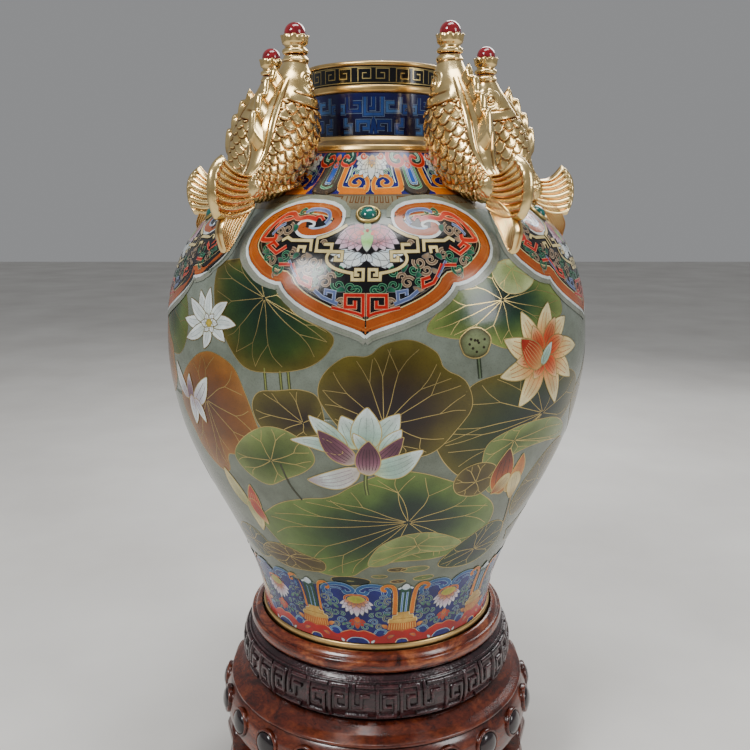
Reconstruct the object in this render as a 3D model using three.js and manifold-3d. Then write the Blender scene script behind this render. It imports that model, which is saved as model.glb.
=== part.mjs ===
// Lotus-pond cloisonne jar with five gilt carp, standing loose in a turned hardwood stand.
// Millimetres, +Z up, front towards -Y, origin under the middle of the stand.
import * as THREE from 'three';
import { mergeVertices } from 'three/addons/utils/BufferGeometryUtils.js';
import Module from 'manifold-3d';

const wasm = await Module();
wasm.setup();

// ---- driving dimensions -------------------------------------------------
const FOOT_Z = 170;            // height of the foot's resting plane above the floor
const WALL = 3;                // copper wall of the jar
const GAP = 0.3;               // clearance between pieces that touch
const FOLD = 5;                // carp and lappets round the jar
const PITCH = 360 / FOLD;
const DECOR_TURN = -2.5;       // the decoration is turned slightly to the left, degrees
const SIDES = 40;              // facets round the jar
const STAND_SIDES = 40;
const SMALL_SIDES = 12;

const SEAM_Z = 230;            // joint between the two body shells, above the foot
const SHELL_FOOT_Z = 13.5;       // underside of the lower shell, above the foot
const SHELL_TOP_Z = 422;       // top edge of the upper shell
const NECK_R = 57.5;
const NECK_BORE = 54.5;
const COLLAR_LOW = [422.3, 433];
const NECK_SPAN = [433.3, 468.1];
const COLLAR_HIGH = [468.4, 474.4];
const BAND_SPAN = [474.7, 488.3];
const RIM_SPAN = [488.6, 492];

const CABOCHON_Z = 373;
const CABOCHON_R = 6.6;
const BEZEL_R = 9;
const BEZEL_H = 4;

const BEAD_R = 8.2;
const BEAD_Z = 508.8;          // above the foot
const HEAD_RHO = 101;          // distance of the mouth from the jar's axis
const MOUTH_Z = 492;

const SCREW_RHO = 115.5;       // where each carp is screwed to the shoulder
const SCREW_R = 3;
const SCREW_HEAD_R = 5.5;

const TOP_RING_R = 121;
const RECESS_R = 110.5;        // bore of the top ring round the foot rim
const FOOT_RIM_R = 109;
const SEAT_Z = FOOT_Z - GAP;
const WAIST_R = 127.5;
const SHELF_R = 141.5;
const APRON_R = 147.5;
const BOSSES = 22;
const BOSS_R = 12;
const BOSS_RISE = 4.5;
const BOSS_Z = 90;
const LEG_WIDTH = 34;
const BASE_R = 147;
const PAD_R = 12;
const PAD_RHO = 132;

// outside of the jar: [height above the foot, radius]
const BODY_PROFILE = [
  [8, 106.5], [30, 108.8], [60, 117], [100, 134.2], [150, 158.5], [190, 174.5], [230, 183.4],
  [262, 185.8], [295, 183.5], [325, 176], [350, 164], [368, 148.5], [380, 133], [393, 112],
  [406, 94.5], [422, 78],
];

// ---- colours ------------------------------------------------------------
const GILT = { color: 0xd2aa5a, roughness: 0.28, metalness: 1 };
const COPPER = { color: 0xa8623c, roughness: 0.45, metalness: 1 };
const ENAMEL_POND = { color: 0x8c9680, roughness: 0.16, metalness: 0 };
const ENAMEL_NAVY = { color: 0x1c2458, roughness: 0.16, metalness: 0 };
const ENAMEL_BLACK = { color: 0x12121a, roughness: 0.18, metalness: 0 };
const RED_GLASS = { color: 0x7a1626, roughness: 0.08, metalness: 0 };
const GREEN_STONE = { color: 0x0d5148, roughness: 0.1, metalness: 0 };
const STEEL = { color: 0x9a9a98, roughness: 0.4, metalness: 1 };
const BURL = { color: 0x6e2f1c, roughness: 0.22, metalness: 0 };
const DARK_WOOD = { color: 0x37232b, roughness: 0.35, metalness: 0 };
const RED_WOOD = { color: 0x74301a, roughness: 0.25, metalness: 0 };

// ---- helpers ------------------------------------------------------------
const root = new THREE.Group();
const rad = (degrees) => (degrees * Math.PI) / 180;

function addNode(name, geometry, look) {
  const mesh = new THREE.Mesh(geometry, new THREE.MeshStandardMaterial(look));
  mesh.name = name;
  root.add(mesh);
}

// welds a geometry and turns its faces outward
function closed(geometry) {
  const bare = geometry.clone();
  bare.deleteAttribute('normal');
  bare.deleteAttribute('uv');
  const welded = mergeVertices(bare, 1e-4);
  const p = welded.attributes.position;
  const faces = [];
  let volume = 0;
  for (let i = 0; i < welded.index.count; i += 3) {
    const [a, b, c] = [0, 1, 2].map((k) => welded.index.getX(i + k));
    if (a === b || b === c || a === c) continue;
    faces.push([a, b, c]);
    const [va, vb, vc] = [a, b, c].map((k) => new THREE.Vector3().fromBufferAttribute(p, k));
    volume += va.dot(vb.cross(vc));
  }
  const index = faces.flatMap(([a, b, c]) => (volume < 0 ? [a, c, b] : [a, b, c]));
  welded.setIndex(index);
  return welded;
}

function toSolid(geometry) {
  const welded = closed(geometry);
  const mesh = new wasm.Mesh({
    numProp: 3,
    vertProperties: new Float32Array(welded.attributes.position.array),
    triVerts: new Uint32Array(welded.index.array),
  });
  return new wasm.Manifold(mesh);
}

function fromSolid(solid) {
  const mesh = solid.getMesh();
  const points = new Float32Array(mesh.numVert * 3);
  for (let i = 0; i < mesh.numVert; i += 1) {
    for (let k = 0; k < 3; k += 1) points[i * 3 + k] = mesh.vertProperties[i * mesh.numProp + k];
  }
  const geometry = new THREE.BufferGeometry();
  geometry.setAttribute('position', new THREE.BufferAttribute(points, 3));
  geometry.setIndex(new THREE.BufferAttribute(new Uint32Array(mesh.triVerts), 1));
  return geometry;
}

// turns a closed [radius, height] profile about +Z; a facet's middle faces azimuth `facing`
function turned(profile, sides = SIDES, facing = DECOR_TURN, lift = 0) {
  const points = profile.map(([r, z]) => new THREE.Vector2(r, z + lift));
  const onAxis = profile[0][0] === 0;
  if (!onAxis) points.push(points[0].clone());
  const lathe = new THREE.LatheGeometry(points, sides);
  lathe.rotateX(Math.PI / 2);
  lathe.rotateZ(rad(facing - 90 - 180 / sides));
  return closed(lathe);
}

// azimuth 0 is the front (-Y), positive to the right
const bearing = (azimuth) => rad(azimuth - 90);

// stands a shape drawn in [distance from axis, height] in the radial plane at an azimuth
function radialPlate(outline, width, azimuth) {
  const shape = new THREE.Shape(outline.map(([rho, z]) => new THREE.Vector2(rho, z)));
  const plate = new THREE.ExtrudeGeometry(shape, { depth: width, bevelEnabled: false });
  plate.translate(0, 0, -width / 2);
  plate.rotateX(Math.PI / 2);
  plate.rotateZ(bearing(azimuth));
  return plate;
}

// moves a shape built on +Z to a spot, its axis tipped in the radial plane along [out, up]
function placeTipped(geometry, rho, z, out, up, azimuth) {
  geometry.rotateY(Math.atan2(out, up));
  geometry.translate(rho, 0, z);
  geometry.rotateZ(bearing(azimuth));
  return geometry;
}

function profileRadius(z) {
  for (let i = 1; i < BODY_PROFILE.length; i += 1) {
    const [z0, r0] = BODY_PROFILE[i - 1];
    const [z1, r1] = BODY_PROFILE[i];
    if (z <= z1) return r0 + ((z - z0) * (r1 - r0)) / (z1 - z0);
  }
  return BODY_PROFILE[BODY_PROFILE.length - 1][1];
}

function profileHeight(radius) {
  let z = SHELL_TOP_Z;
  while (profileRadius(z) < radius) z -= 0.05;
  return z;
}

// unit normal [out, up] of the jar's outside at a height
function profileNormal(z) {
  const dr = profileRadius(z + 1) - profileRadius(z - 1);
  const length = Math.hypot(dr, 2);
  return [2 / length, -dr / length];
}

// moves each profile point along its normal; a negative distance goes inward
function offsetProfile(profile, distance) {
  return profile.map(([z, r], i) => {
    const [z0, r0] = profile[Math.max(i - 1, 0)];
    const [z1, r1] = profile[Math.min(i + 1, profile.length - 1)];
    const length = Math.hypot(z1 - z0, r1 - r0);
    return [z - (distance * (r1 - r0)) / length, r + (distance * (z1 - z0)) / length];
  });
}

function profileSpan(z0, z1) {
  const between = BODY_PROFILE.filter(([z]) => z > z0 && z < z1);
  return [[z0, profileRadius(z0)], ...between, [z1, profileRadius(z1)]];
}

// a shell between two heights, its end faces level
function shell(z0, z1) {
  const outside = profileSpan(z0, z1);
  const inside = offsetProfile(outside, -WALL);
  inside[0][0] = z0;
  inside[inside.length - 1][0] = z1;
  const outline = [...outside, ...inside.reverse()].map(([z, r]) => [r, z]);
  return turned(outline, SIDES, DECOR_TURN, FOOT_Z);
}

// ---- jar ----------------------------------------------------------------
function screwAxis() {
  const z = profileHeight(SCREW_RHO);
  const [out, up] = profileNormal(z);
  return { z: z + FOOT_Z, out, up };
}

function cylinderAlong(radius, low, high, azimuth, sides = SMALL_SIDES) {
  const { z, out, up } = screwAxis();
  const rod = turned([[0, low], [radius, low], [radius, high], [0, high]], sides);
  return placeTipped(rod, SCREW_RHO, z, out, up, azimuth);
}

function upperShell() {
  let solid = toSolid(shell(SEAM_Z + GAP, SHELL_TOP_Z));
  for (let i = 0; i < FOLD; i += 1) {
    const hole = cylinderAlong(SCREW_R + GAP * 2, -WALL * 3, WALL * 3, carpAzimuth(i), 8);
    solid = solid.subtract(toSolid(hole));
  }
  return fromSolid(solid);
}

function seamStrip() {
  const span = offsetProfile(profileSpan(SEAM_Z - 9, SEAM_Z + 9), -WALL - GAP);
  const inner = offsetProfile(span, -1.6);
  const outline = [...span, ...inner.reverse()].map(([z, r]) => [r, z]);
  return turned(outline, SIDES, DECOR_TURN, FOOT_Z);
}

function ring(outline, sides = SIDES, facing = DECOR_TURN, lift = FOOT_Z) {
  return turned(outline, sides, facing, lift);
}

function mouthRim() {
  const [z0, z1] = RIM_SPAN;
  return ring([[NECK_BORE, z0], [60, z0], [61.3, z0 + 1.1], [61, z0 + 2.6], [59.2, z1], [56.2, z1],
    [NECK_BORE, z1 - 1.2]]);
}

function mouthBand() {
  const [z0, z1] = BAND_SPAN;
  return ring([[NECK_BORE, z0], [58.2, z0], [58.6, (z0 + z1) / 2], [59.4, z1], [NECK_BORE, z1]]);
}

function upperCollar() {
  const [z0, z1] = COLLAR_HIGH;
  return ring([[NECK_BORE, z0], [58.4, z0], [60.4, z0 + 1.4], [60.9, z0 + 3], [60.4, z1 - 1.4],
    [58.8, z1], [NECK_BORE, z1]]);
}

function neckShell() {
  const [z0, z1] = NECK_SPAN;
  return ring([[NECK_BORE, z0], [NECK_R + 1, z0], [NECK_R, z0 + 8], [NECK_R, z1], [NECK_BORE, z1]]);
}

function lowerCollar() {
  const [z0, z1] = COLLAR_LOW;
  return ring([[72.5, z0], [77.6, z0], [77.2, z0 + 1.6], [72, z0 + 4.6], [67, z0 + 8], [63, z1],
    [NECK_BORE, z1], [NECK_BORE, z1 - 4]]);
}

function footRim() {
  return ring([[97, 0], [107.5, 0], [FOOT_RIM_R, 2], [FOOT_RIM_R, 10.6], [107.6, SHELL_FOOT_Z - GAP],
    [97, SHELL_FOOT_Z - GAP]]);
}

function basePlate() {
  const inside = profileRadius(SHELL_FOOT_Z) - WALL - GAP * 2;
  return ring([[0, SHELL_FOOT_Z], [inside, SHELL_FOOT_Z], [inside, SHELL_FOOT_Z + 2.5],
    [0, SHELL_FOOT_Z + 2.5]]);
}

function buildJar() {
  addNode('mouth_rim', mouthRim(), GILT);
  addNode('mouth_band', mouthBand(), ENAMEL_BLACK);
  addNode('upper_collar', upperCollar(), GILT);
  addNode('neck_shell', neckShell(), ENAMEL_NAVY);
  addNode('lower_collar', lowerCollar(), GILT);
  addNode('upper_body_shell', upperShell(), ENAMEL_POND);
  addNode('lower_body_shell', shell(SHELL_FOOT_Z, SEAM_Z), ENAMEL_POND);
  addNode('seam_strip', seamStrip(), COPPER);
  addNode('foot_rim', footRim(), GILT);
  addNode('base_plate', basePlate(), COPPER);
}

// ---- cabochons ----------------------------------------------------------
const PLACES = ['front', 'right', 'back_right', 'back_left', 'left'];
const lappetAzimuth = (i) => DECOR_TURN + i * PITCH;

function buildCabochon(i) {
  const azimuth = lappetAzimuth(i);
  const [out, up] = profileNormal(CABOCHON_Z);
  const flat = Math.cos(Math.PI / SIDES);
  const rho = profileRadius(CABOCHON_Z) * flat;
  const z = CABOCHON_Z + FOOT_Z;
  const cup = turned([[0, GAP * 2], [BEZEL_R - 0.6, GAP * 2], [BEZEL_R, 1.5], [CABOCHON_R + 0.8, BEZEL_H],
    [CABOCHON_R + GAP, BEZEL_H], [CABOCHON_R + GAP, 2.2], [0, 2.2]], 16);
  addNode(`bezel_${PLACES[i]}`, placeTipped(cup, rho, z, out, up, azimuth), GILT);
  const stone = turned([[0, 2.5], [CABOCHON_R, 2.5], [CABOCHON_R, 4.4], [5, 6.6], [2.6, 7.7], [0, 8.1]], 16);
  addNode(`cabochon_${PLACES[i]}`, placeTipped(stone, rho, z, out, up, azimuth), GREEN_STONE);
}

// ---- carp ---------------------------------------------------------------
const CARP = ['front_right', 'right', 'back', 'left', 'front_left'];
const carpAzimuth = (i) => DECOR_TURN + PITCH / 2 + i * PITCH;

// [distance from axis, height above the foot, half depth in the radial plane, half width]
const CARP_STATIONS = [
  [101, 492, 8.6, 8.6], [101, 487, 9.6, 9.8], [102.5, 478, 13, 12.6], [104.5, 469, 17.5, 16],
  [107, 458, 22.5, 19.3], [110, 446, 26.5, 21.5], [114, 433, 28.5, 22], [120, 420, 27, 21],
  [128, 409, 22.5, 18], [137, 401, 17.5, 14], [146, 395.5, 13, 10.5], [154, 392, 10.5, 8],
  [159, 390.5, 8, 4.5],
];

// fins drawn in the radial plane: [distance from axis, height above the foot]
const DORSAL_FIN = [
  [112, 476], [119, 485], [127, 484], [127, 477], [136, 477], [137, 468], [146, 467], [147, 456],
  [154.5, 453], [153.5, 442], [156.5, 436], [150, 428], [142, 424], [134, 432], [126, 452], [116, 467],
];
const TAIL_FIN = [
  [150, 401], [158, 402.5], [165, 404], [171.5, 408], [179, 414.5], [186, 409.5], [190.5, 402], [192, 392.5],
  [191, 382], [187, 372], [184.5, 361], [182.5, 353], [179.5, 346], [174, 351], [169.5, 358.5],
  [165, 366], [160, 373], [154, 380], [149, 387],
];
const FIN_THICK = 5;
const TAIL_THICK = 8;

function carpTrunk(azimuth) {
  const around = 12;
  const points = [];
  const index = [];
  CARP_STATIONS.forEach(([rho, z, depth, width], i) => {
    const [rho0, z0] = CARP_STATIONS[Math.max(i - 1, 0)];
    const [rho1, z1] = CARP_STATIONS[Math.min(i + 1, CARP_STATIONS.length - 1)];
    const length = Math.hypot(rho1 - rho0, z1 - z0);
    const [sideRho, sideZ] = [-(z1 - z0) / length, (rho1 - rho0) / length];
    for (let k = 0; k < around; k += 1) {
      const turn = (k / around) * 2 * Math.PI;
      const across = Math.cos(turn) * depth;
      points.push(rho + across * sideRho, Math.sin(turn) * width, z + across * sideZ + FOOT_Z);
    }
  });
  const rings = CARP_STATIONS.length;
  for (let i = 0; i + 1 < rings; i += 1) {
    for (let k = 0; k < around; k += 1) {
      const [a, b] = [i * around + k, i * around + ((k + 1) % around)];
      index.push(a, b, a + around, b, b + around, a + around);
    }
  }
  const last = (rings - 1) * around;
  for (let k = 1; k + 1 < around; k += 1) {
    index.push(0, k + 1, k, last, last + k, last + k + 1);
  }
  const geometry = new THREE.BufferGeometry();
  geometry.setAttribute('position', new THREE.BufferAttribute(new Float32Array(points), 3));
  geometry.setIndex(index);
  geometry.rotateZ(bearing(azimuth));
  return geometry;
}

function carpCasting(azimuth, clearOf) {
  const lifted = (outline) => outline.map(([rho, z]) => [rho, z + FOOT_Z]);
  let solid = toSolid(carpTrunk(azimuth));
  solid = solid.add(toSolid(radialPlate(lifted(DORSAL_FIN), FIN_THICK, azimuth)));
  solid = solid.add(toSolid(radialPlate(lifted(TAIL_FIN), TAIL_THICK, azimuth)));
  solid = solid.subtract(clearOf);
  solid = solid.subtract(toSolid(cylinderAlong(SCREW_R + GAP * 2, -WALL, 16, azimuth, 8)));
  return fromSolid(solid);
}

// the jar's outside grown by the gap, so that each casting sits on the shoulder without touching
function shoulderBlank() {
  const skin = offsetProfile(BODY_PROFILE.filter(([z]) => z > 250), GAP);
  const outline = [[0, skin[0][0]], ...skin.map(([z, r]) => [r, z]), [0, skin[skin.length - 1][0]]];
  return toSolid(turned(outline, SIDES, DECOR_TURN, FOOT_Z));
}

function beadSetting(azimuth) {
  const cup = turned([[0, MOUTH_Z + GAP], [8.6, MOUTH_Z + GAP], [9.8, 494.4], [8.4, 496.6], [8.7, 498.6],
    [10.8, 501.6], [10.4, 504.4], [7.6, 504.8], [6.6, 503.3], [4.4, 501.5], [0, 500.3]], SMALL_SIDES);
  cup.translate(HEAD_RHO, 0, FOOT_Z);
  cup.rotateZ(bearing(azimuth));
  return cup;
}

function bead(azimuth) {
  const rows = 6;
  const outline = [];
  for (let k = 0; k <= rows; k += 1) {
    const turn = (k / rows) * Math.PI;
    const r = k % rows === 0 ? 0 : BEAD_R * Math.sin(turn);
    outline.push([r, BEAD_Z - BEAD_R * Math.cos(turn)]);
  }
  const ball = turned(outline, SMALL_SIDES);
  ball.translate(HEAD_RHO, 0, FOOT_Z);
  ball.rotateZ(bearing(azimuth));
  return ball;
}

function fixingScrew(azimuth) {
  const under = -WALL - GAP * 2;
  const outline = [[0, under - 3], [SCREW_HEAD_R, under - 3], [SCREW_HEAD_R, under], [SCREW_R, under],
    [SCREW_R, 14], [0, 14]];
  const { z, out, up } = screwAxis();
  return placeTipped(turned(outline, SMALL_SIDES), SCREW_RHO, z, out, up, azimuth);
}

function buildCarp() {
  const clearOf = shoulderBlank();
  CARP.forEach((place, i) => {
    const azimuth = carpAzimuth(i);
    addNode(`carp_${place}`, carpCasting(azimuth, clearOf), GILT);
    addNode(`bead_setting_${place}`, beadSetting(azimuth), GILT);
    addNode(`bead_${place}`, bead(azimuth), RED_GLASS);
    addNode(`carp_screw_${place}`, fixingScrew(azimuth), STEEL);
  });
}

// ---- stand --------------------------------------------------------------
function topRing() {
  return ring([[RECESS_R, 162], [118.5, 162], [120.6, 165], [TOP_RING_R, 169], [120, 172.6], [118, 174.4],
    [117.2, 173.8], [116.4, 175.6], [113.5, 178], [RECESS_R + 0.6, 178.2], [RECESS_R, 177]],
  STAND_SIDES, 0, 0);
}

function seatBoard() {
  const edge = RECESS_R - 3;
  return ring([[0, 162], [edge, 162], [edge, SEAT_Z], [0, SEAT_Z]], STAND_SIDES, 0, 0);
}

function waistRing() {
  return ring([[96, 120.3], [121, 120.3], [124.8, 125], [127, 132], [WAIST_R, 140], [126.6, 148],
    [123.6, 155], [118.5, 160.5], [114, 161.7], [96, 161.7]], STAND_SIDES, 0, 0);
}

function shelf() {
  return ring([[98, 106.3], [SHELF_R, 106.3], [SHELF_R, 108.6], [139.4, 110], [133, 113.4], [126, 117.6],
    [122, 120], [98, 120]], STAND_SIDES, 0, 0);
}

function apron() {
  const blank = ring([[124, 66], [142, 66], [145.5, 70], [147, 77], [APRON_R, 86], [146, 95], [142.5, 102],
    [139.5, 106], [124, 106]], STAND_SIDES, 0, 0);
  let solid = toSolid(blank);
  for (let i = 0; i < BOSSES; i += 1) {
    const dome = turned([[0, -4], [BOSS_R, -4], [BOSS_R * 0.6, BOSS_RISE * 0.8], [0, BOSS_RISE]], 8);
    placeTipped(dome, APRON_R, BOSS_Z, 1, 0, ((i + 0.5) * 360) / BOSSES);
    solid = solid.add(toSolid(dome));
  }
  return fromSolid(solid);
}

function leg(azimuth) {
  return closed(radialPlate([
    [126, 65.7], [142, 65.7], [146.5, 60], [147, 52], [143, 43], [137.5, 35], [136.5, 29], [140, 22.3],
    [126, 22.3], [121.5, 29], [121.5, 40], [125, 50], [127.5, 58],
  ], LEG_WIDTH, azimuth));
}

function baseRing() {
  return ring([[116, 6.3], [143, 6.3], [BASE_R, 9], [BASE_R, 13], [144.5, 16.5], [144, 22], [116, 22]],
    STAND_SIDES, 0, 0);
}

function footPad(azimuth) {
  const pad = turned([[0, 0], [PAD_R, 0], [PAD_R, 6], [0, 6]], SMALL_SIDES);
  pad.translate(PAD_RHO, 0, 0);
  pad.rotateZ(bearing(azimuth));
  return pad;
}

function buildStand() {
  addNode('stand_top_ring', topRing(), BURL);
  addNode('stand_seat_board', seatBoard(), RED_WOOD);
  addNode('stand_waist_ring', waistRing(), DARK_WOOD);
  addNode('stand_shelf', shelf(), RED_WOOD);
  addNode('stand_apron', apron(), RED_WOOD);
  addNode('stand_base_ring', baseRing(), RED_WOOD);
  PLACES.forEach((place, i) => {
    addNode(`stand_leg_${place}`, leg(i * PITCH), RED_WOOD);
    addNode(`stand_pad_${place}`, footPad(i * PITCH), DARK_WOOD);
  });
}

buildJar();
PLACES.forEach((place, i) => buildCabochon(i));
buildCarp();
buildStand();

export default root;
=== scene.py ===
"""A cloisonne jar with five gilt carp on its shoulder, on a carved wooden stand."""

import math
import random

import bmesh
import bpy
import numpy as np
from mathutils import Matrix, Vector


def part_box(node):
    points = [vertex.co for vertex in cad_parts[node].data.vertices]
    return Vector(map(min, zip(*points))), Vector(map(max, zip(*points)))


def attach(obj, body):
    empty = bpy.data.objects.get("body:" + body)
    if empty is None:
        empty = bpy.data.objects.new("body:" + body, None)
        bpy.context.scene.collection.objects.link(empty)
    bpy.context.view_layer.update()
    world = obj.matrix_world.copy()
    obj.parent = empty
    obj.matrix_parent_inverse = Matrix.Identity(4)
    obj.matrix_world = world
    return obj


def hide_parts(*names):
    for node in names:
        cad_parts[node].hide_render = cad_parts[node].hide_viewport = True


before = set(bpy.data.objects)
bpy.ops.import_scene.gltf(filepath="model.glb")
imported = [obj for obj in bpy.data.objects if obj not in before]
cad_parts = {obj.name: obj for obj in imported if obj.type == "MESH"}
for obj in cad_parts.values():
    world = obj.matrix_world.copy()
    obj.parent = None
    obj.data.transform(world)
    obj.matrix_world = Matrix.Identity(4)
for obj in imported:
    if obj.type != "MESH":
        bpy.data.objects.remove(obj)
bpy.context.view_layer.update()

MM = 0.001
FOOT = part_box("foot_rim")[0].z

# The jar's outside: height above its foot and radius, in mm.
JAR_PROFILE = [
    (8, 106.5), (30, 108.8), (60, 117), (100, 134.2), (150, 158.5), (190, 174.5),
    (230, 183.4), (262, 185.8), (295, 183.5), (325, 176), (350, 164), (368, 148.5),
    (380, 133), (393, 112), (406, 94.5), (422, 78),
]
SEAM = 230                       # height where the two halves of the wall meet, mm
SEAM_GAP = 0.02                  # how far each half stops short of the seam, mm
SHELL_LOW, SHELL_HIGH = 13.5, 422
WALL = 3.15                      # the wall's thickness, measured level, mm
BORE = 54.5                      # inner radius of the mouth and neck rings, mm
RING_COLUMNS = 320               # faces round a turned ring
SHELL_COLUMNS = 360              # faces round the jar's wall
LAYER = 0.042                    # gap between one layer of enamel and the next, mm
WIRE_CROWN = 0.008               # how far the middle of a wire stands above its edges, mm
MITRE_LIMIT = 1.6                # how much wider a line may get at a sharp corner
DECOR_TURN = -2.5                # azimuth of the middle of the front lappet, degrees
LAPPETS = 5
LAPPET_SCALE = 2.618             # mm across a lappet for each degree
LAPPET_BASE = 13                 # the lappets and the base band lie above all leaves and petals
BAND_SQUEEZE = 0.84              # height of the base band over the height it is drawn at

# Enamel colours, as 0-255 screen values.
GROUND = (138, 144, 128)
GROUND_HIGH = (146, 154, 146)
OLIVE = (102, 92, 36)
OLIVE_RIM = (120, 110, 50)
PLUM = (46, 30, 28)
PINE = (33, 56, 46)
MOSS = (72, 92, 48)
SAGE = (108, 126, 70)
PALE_SAGE = (158, 170, 118)
AMBER = (146, 98, 38)
RUST = (110, 66, 30)
WHITE = (226, 232, 232)
MINT = (176, 203, 190)
MAUVE = (124, 82, 98)
CREAM = (226, 210, 160)
ORANGE = (222, 136, 24)
TAWNY = (180, 100, 36)
RED = (192, 42, 26)
BLACK = (16, 15, 24)
NAVY = (14, 18, 66)
ROYAL = (18, 28, 128)
SKY = (58, 112, 166)
TEAL = (20, 88, 70)
TAUPE = (138, 118, 100)
GREY_BLUE = (108, 122, 160)
GOLD_LINE = (196, 176, 116)
FRET_LINE = (176, 158, 112)
CORAL = (226, 160, 130)          # edge of a lappet's red lines
SALMON = (236, 160, 130)         # edge of the shoulder band's red lines
PALE_BLUE = (170, 180, 206)      # edge of the grey-blue lines
ICE = (176, 206, 226)            # edge of the blue lines
BUFF = (236, 190, 130)           # edge of the base band's orange curls
BRONZE = (92, 76, 40)            # edge of the cream frets
DUSKY = (216, 170, 140)          # edge of the lowest red lines


# ---------------------------------------------------------------- shapes on the jar

def linear(colour):
    """Screen colour 0-255 to the linear colour that shaders use."""
    value = np.asarray(colour, float) / 255
    return np.where(value < 0.04045, value / 12.92, ((value + 0.055) / 1.055) ** 2.4)


def spline(points, count, closed=False):
    """A smooth curve through points, as count points."""
    points = np.asarray(points, float)
    if closed:
        points = np.concatenate([points, points[:1]])
        slopes = (np.roll(points[:-1], -1, 0) - np.roll(points[:-1], 1, 0)) / 2
        slopes = np.concatenate([slopes, slopes[:1]])
    else:
        slopes = np.gradient(points, axis=0)
    place = np.linspace(0, len(points) - 1, count)
    start = np.minimum(place.astype(int), len(points) - 2)
    t = (place - start)[:, None]
    a, b = points[start], points[start + 1]
    slope_a, slope_b = slopes[start], slopes[start + 1]
    return (
        (2 * t**3 - 3 * t**2 + 1) * a
        + (t**3 - 2 * t**2 + t) * slope_a
        + (3 * t**2 - 2 * t**3) * b
        + (t**3 - t**2) * slope_b
    )


PROFILE_CURVE = spline(JAR_PROFILE, 400)


def jar_radius(height):
    return np.interp(height, PROFILE_CURVE[:, 0], PROFILE_CURVE[:, 1])


def on_turned(radius_at, azimuth, height, lift=0.0):
    """Points on a turned surface, in metres: azimuth in degrees, height above the foot in mm."""
    slope = radius_at(height + 0.5) - radius_at(height - 0.5)
    tilt = np.sqrt(1 + slope**2)
    rho = radius_at(height) + lift / tilt
    z = height - lift * slope / tilt
    angle = np.radians(azimuth)
    return np.stack([rho * np.sin(angle), -rho * np.cos(angle), z], -1) * MM + (0, 0, FOOT)


def on_jar(azimuth, height, lift=0.0):
    """Points on the jar's skin, or lift mm outside it."""
    return on_turned(jar_radius, azimuth, height, lift)


def placing(radius_at, radius):
    """A function used like on_jar, for another turned surface whose usual radius is given."""

    def place(azimuth, height, lift=0.0):
        return on_turned(radius_at, azimuth, height, lift)

    place.radius = radius
    return place


def on_tube(radius):
    """A placing function for a straight ring of that radius."""
    return placing(lambda height: radius + 0 * height, radius)


def mm_per_degree(place, height):
    """How many mm one degree of azimuth is, at that height."""
    radius = getattr(place, "radius", None)
    if radius is None:
        radius = jar_radius(height)
    return np.radians(radius + 0 * np.asarray(height, float))


def dense_path(corners, step, place, smooth, closed):
    """Points along a path in (azimuth, height), no further apart than step mm."""
    corners = np.asarray(corners, float)
    if smooth and len(corners) > 2:
        corners = spline(corners, len(corners) * 8, closed)
    elif closed:
        corners = np.concatenate([corners, corners[:1]])
    out = [corners[:1]]
    for a, b in zip(corners[:-1], corners[1:]):
        across = (b[0] - a[0]) * mm_per_degree(place, a[1])
        count = max(1, math.ceil(math.hypot(across, b[1] - a[1]) / step))
        t = np.arange(1, count + 1)[:, None] / count
        out.append(a + (b - a) * t)
    return np.concatenate(out)


def path_frame(path, place, closed=False):
    """A path's scale, its points in plain mm, and its direction and mitred normal at each point."""
    scale = mm_per_degree(place, path[:, 1])
    flat = np.stack([path[:, 0] * scale, path[:, 1]], 1)
    steps = np.diff(flat, axis=0)
    steps = steps / (np.linalg.norm(steps, axis=1, keepdims=True) + 1e-9)
    first, last = (steps[-1:], steps[:1]) if closed else (steps[:1], steps[-1:])
    along = np.concatenate([first, steps]) + np.concatenate([steps, last])
    length = np.linalg.norm(along, axis=1, keepdims=True) + 1e-9
    along = along / length
    normal = np.stack([-along[:, 1], along[:, 0]], 1) * np.clip(2 / length, 1, MITRE_LIMIT)
    return scale, flat, along, normal


def oval(centre, half_wide, half_tall, count, sweep=math.tau):
    """Points round an oval: a closed one of count points, or an open sweep of it in radians."""
    angles = np.linspace(0, sweep, count, endpoint=sweep < math.tau)
    return [(centre[0] + half_wide * math.cos(a), centre[1] + half_tall * math.sin(a)) for a in angles]


def mottle(azimuth, height, seed):
    """A slow brush-like variation between -1 and 1."""
    rng = random.Random(seed)
    total = 0
    for scale in (9.0, 17.0, 31.0):
        angle = rng.uniform(0, math.tau)
        phase = rng.uniform(0, math.tau)
        wave = np.cos(angle) * azimuth * 2.4 + np.sin(angle) * height
        total = total + np.sin(wave / scale * 3 + phase + 0.8 * np.sin(wave / 7)) / 3
    return total


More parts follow.
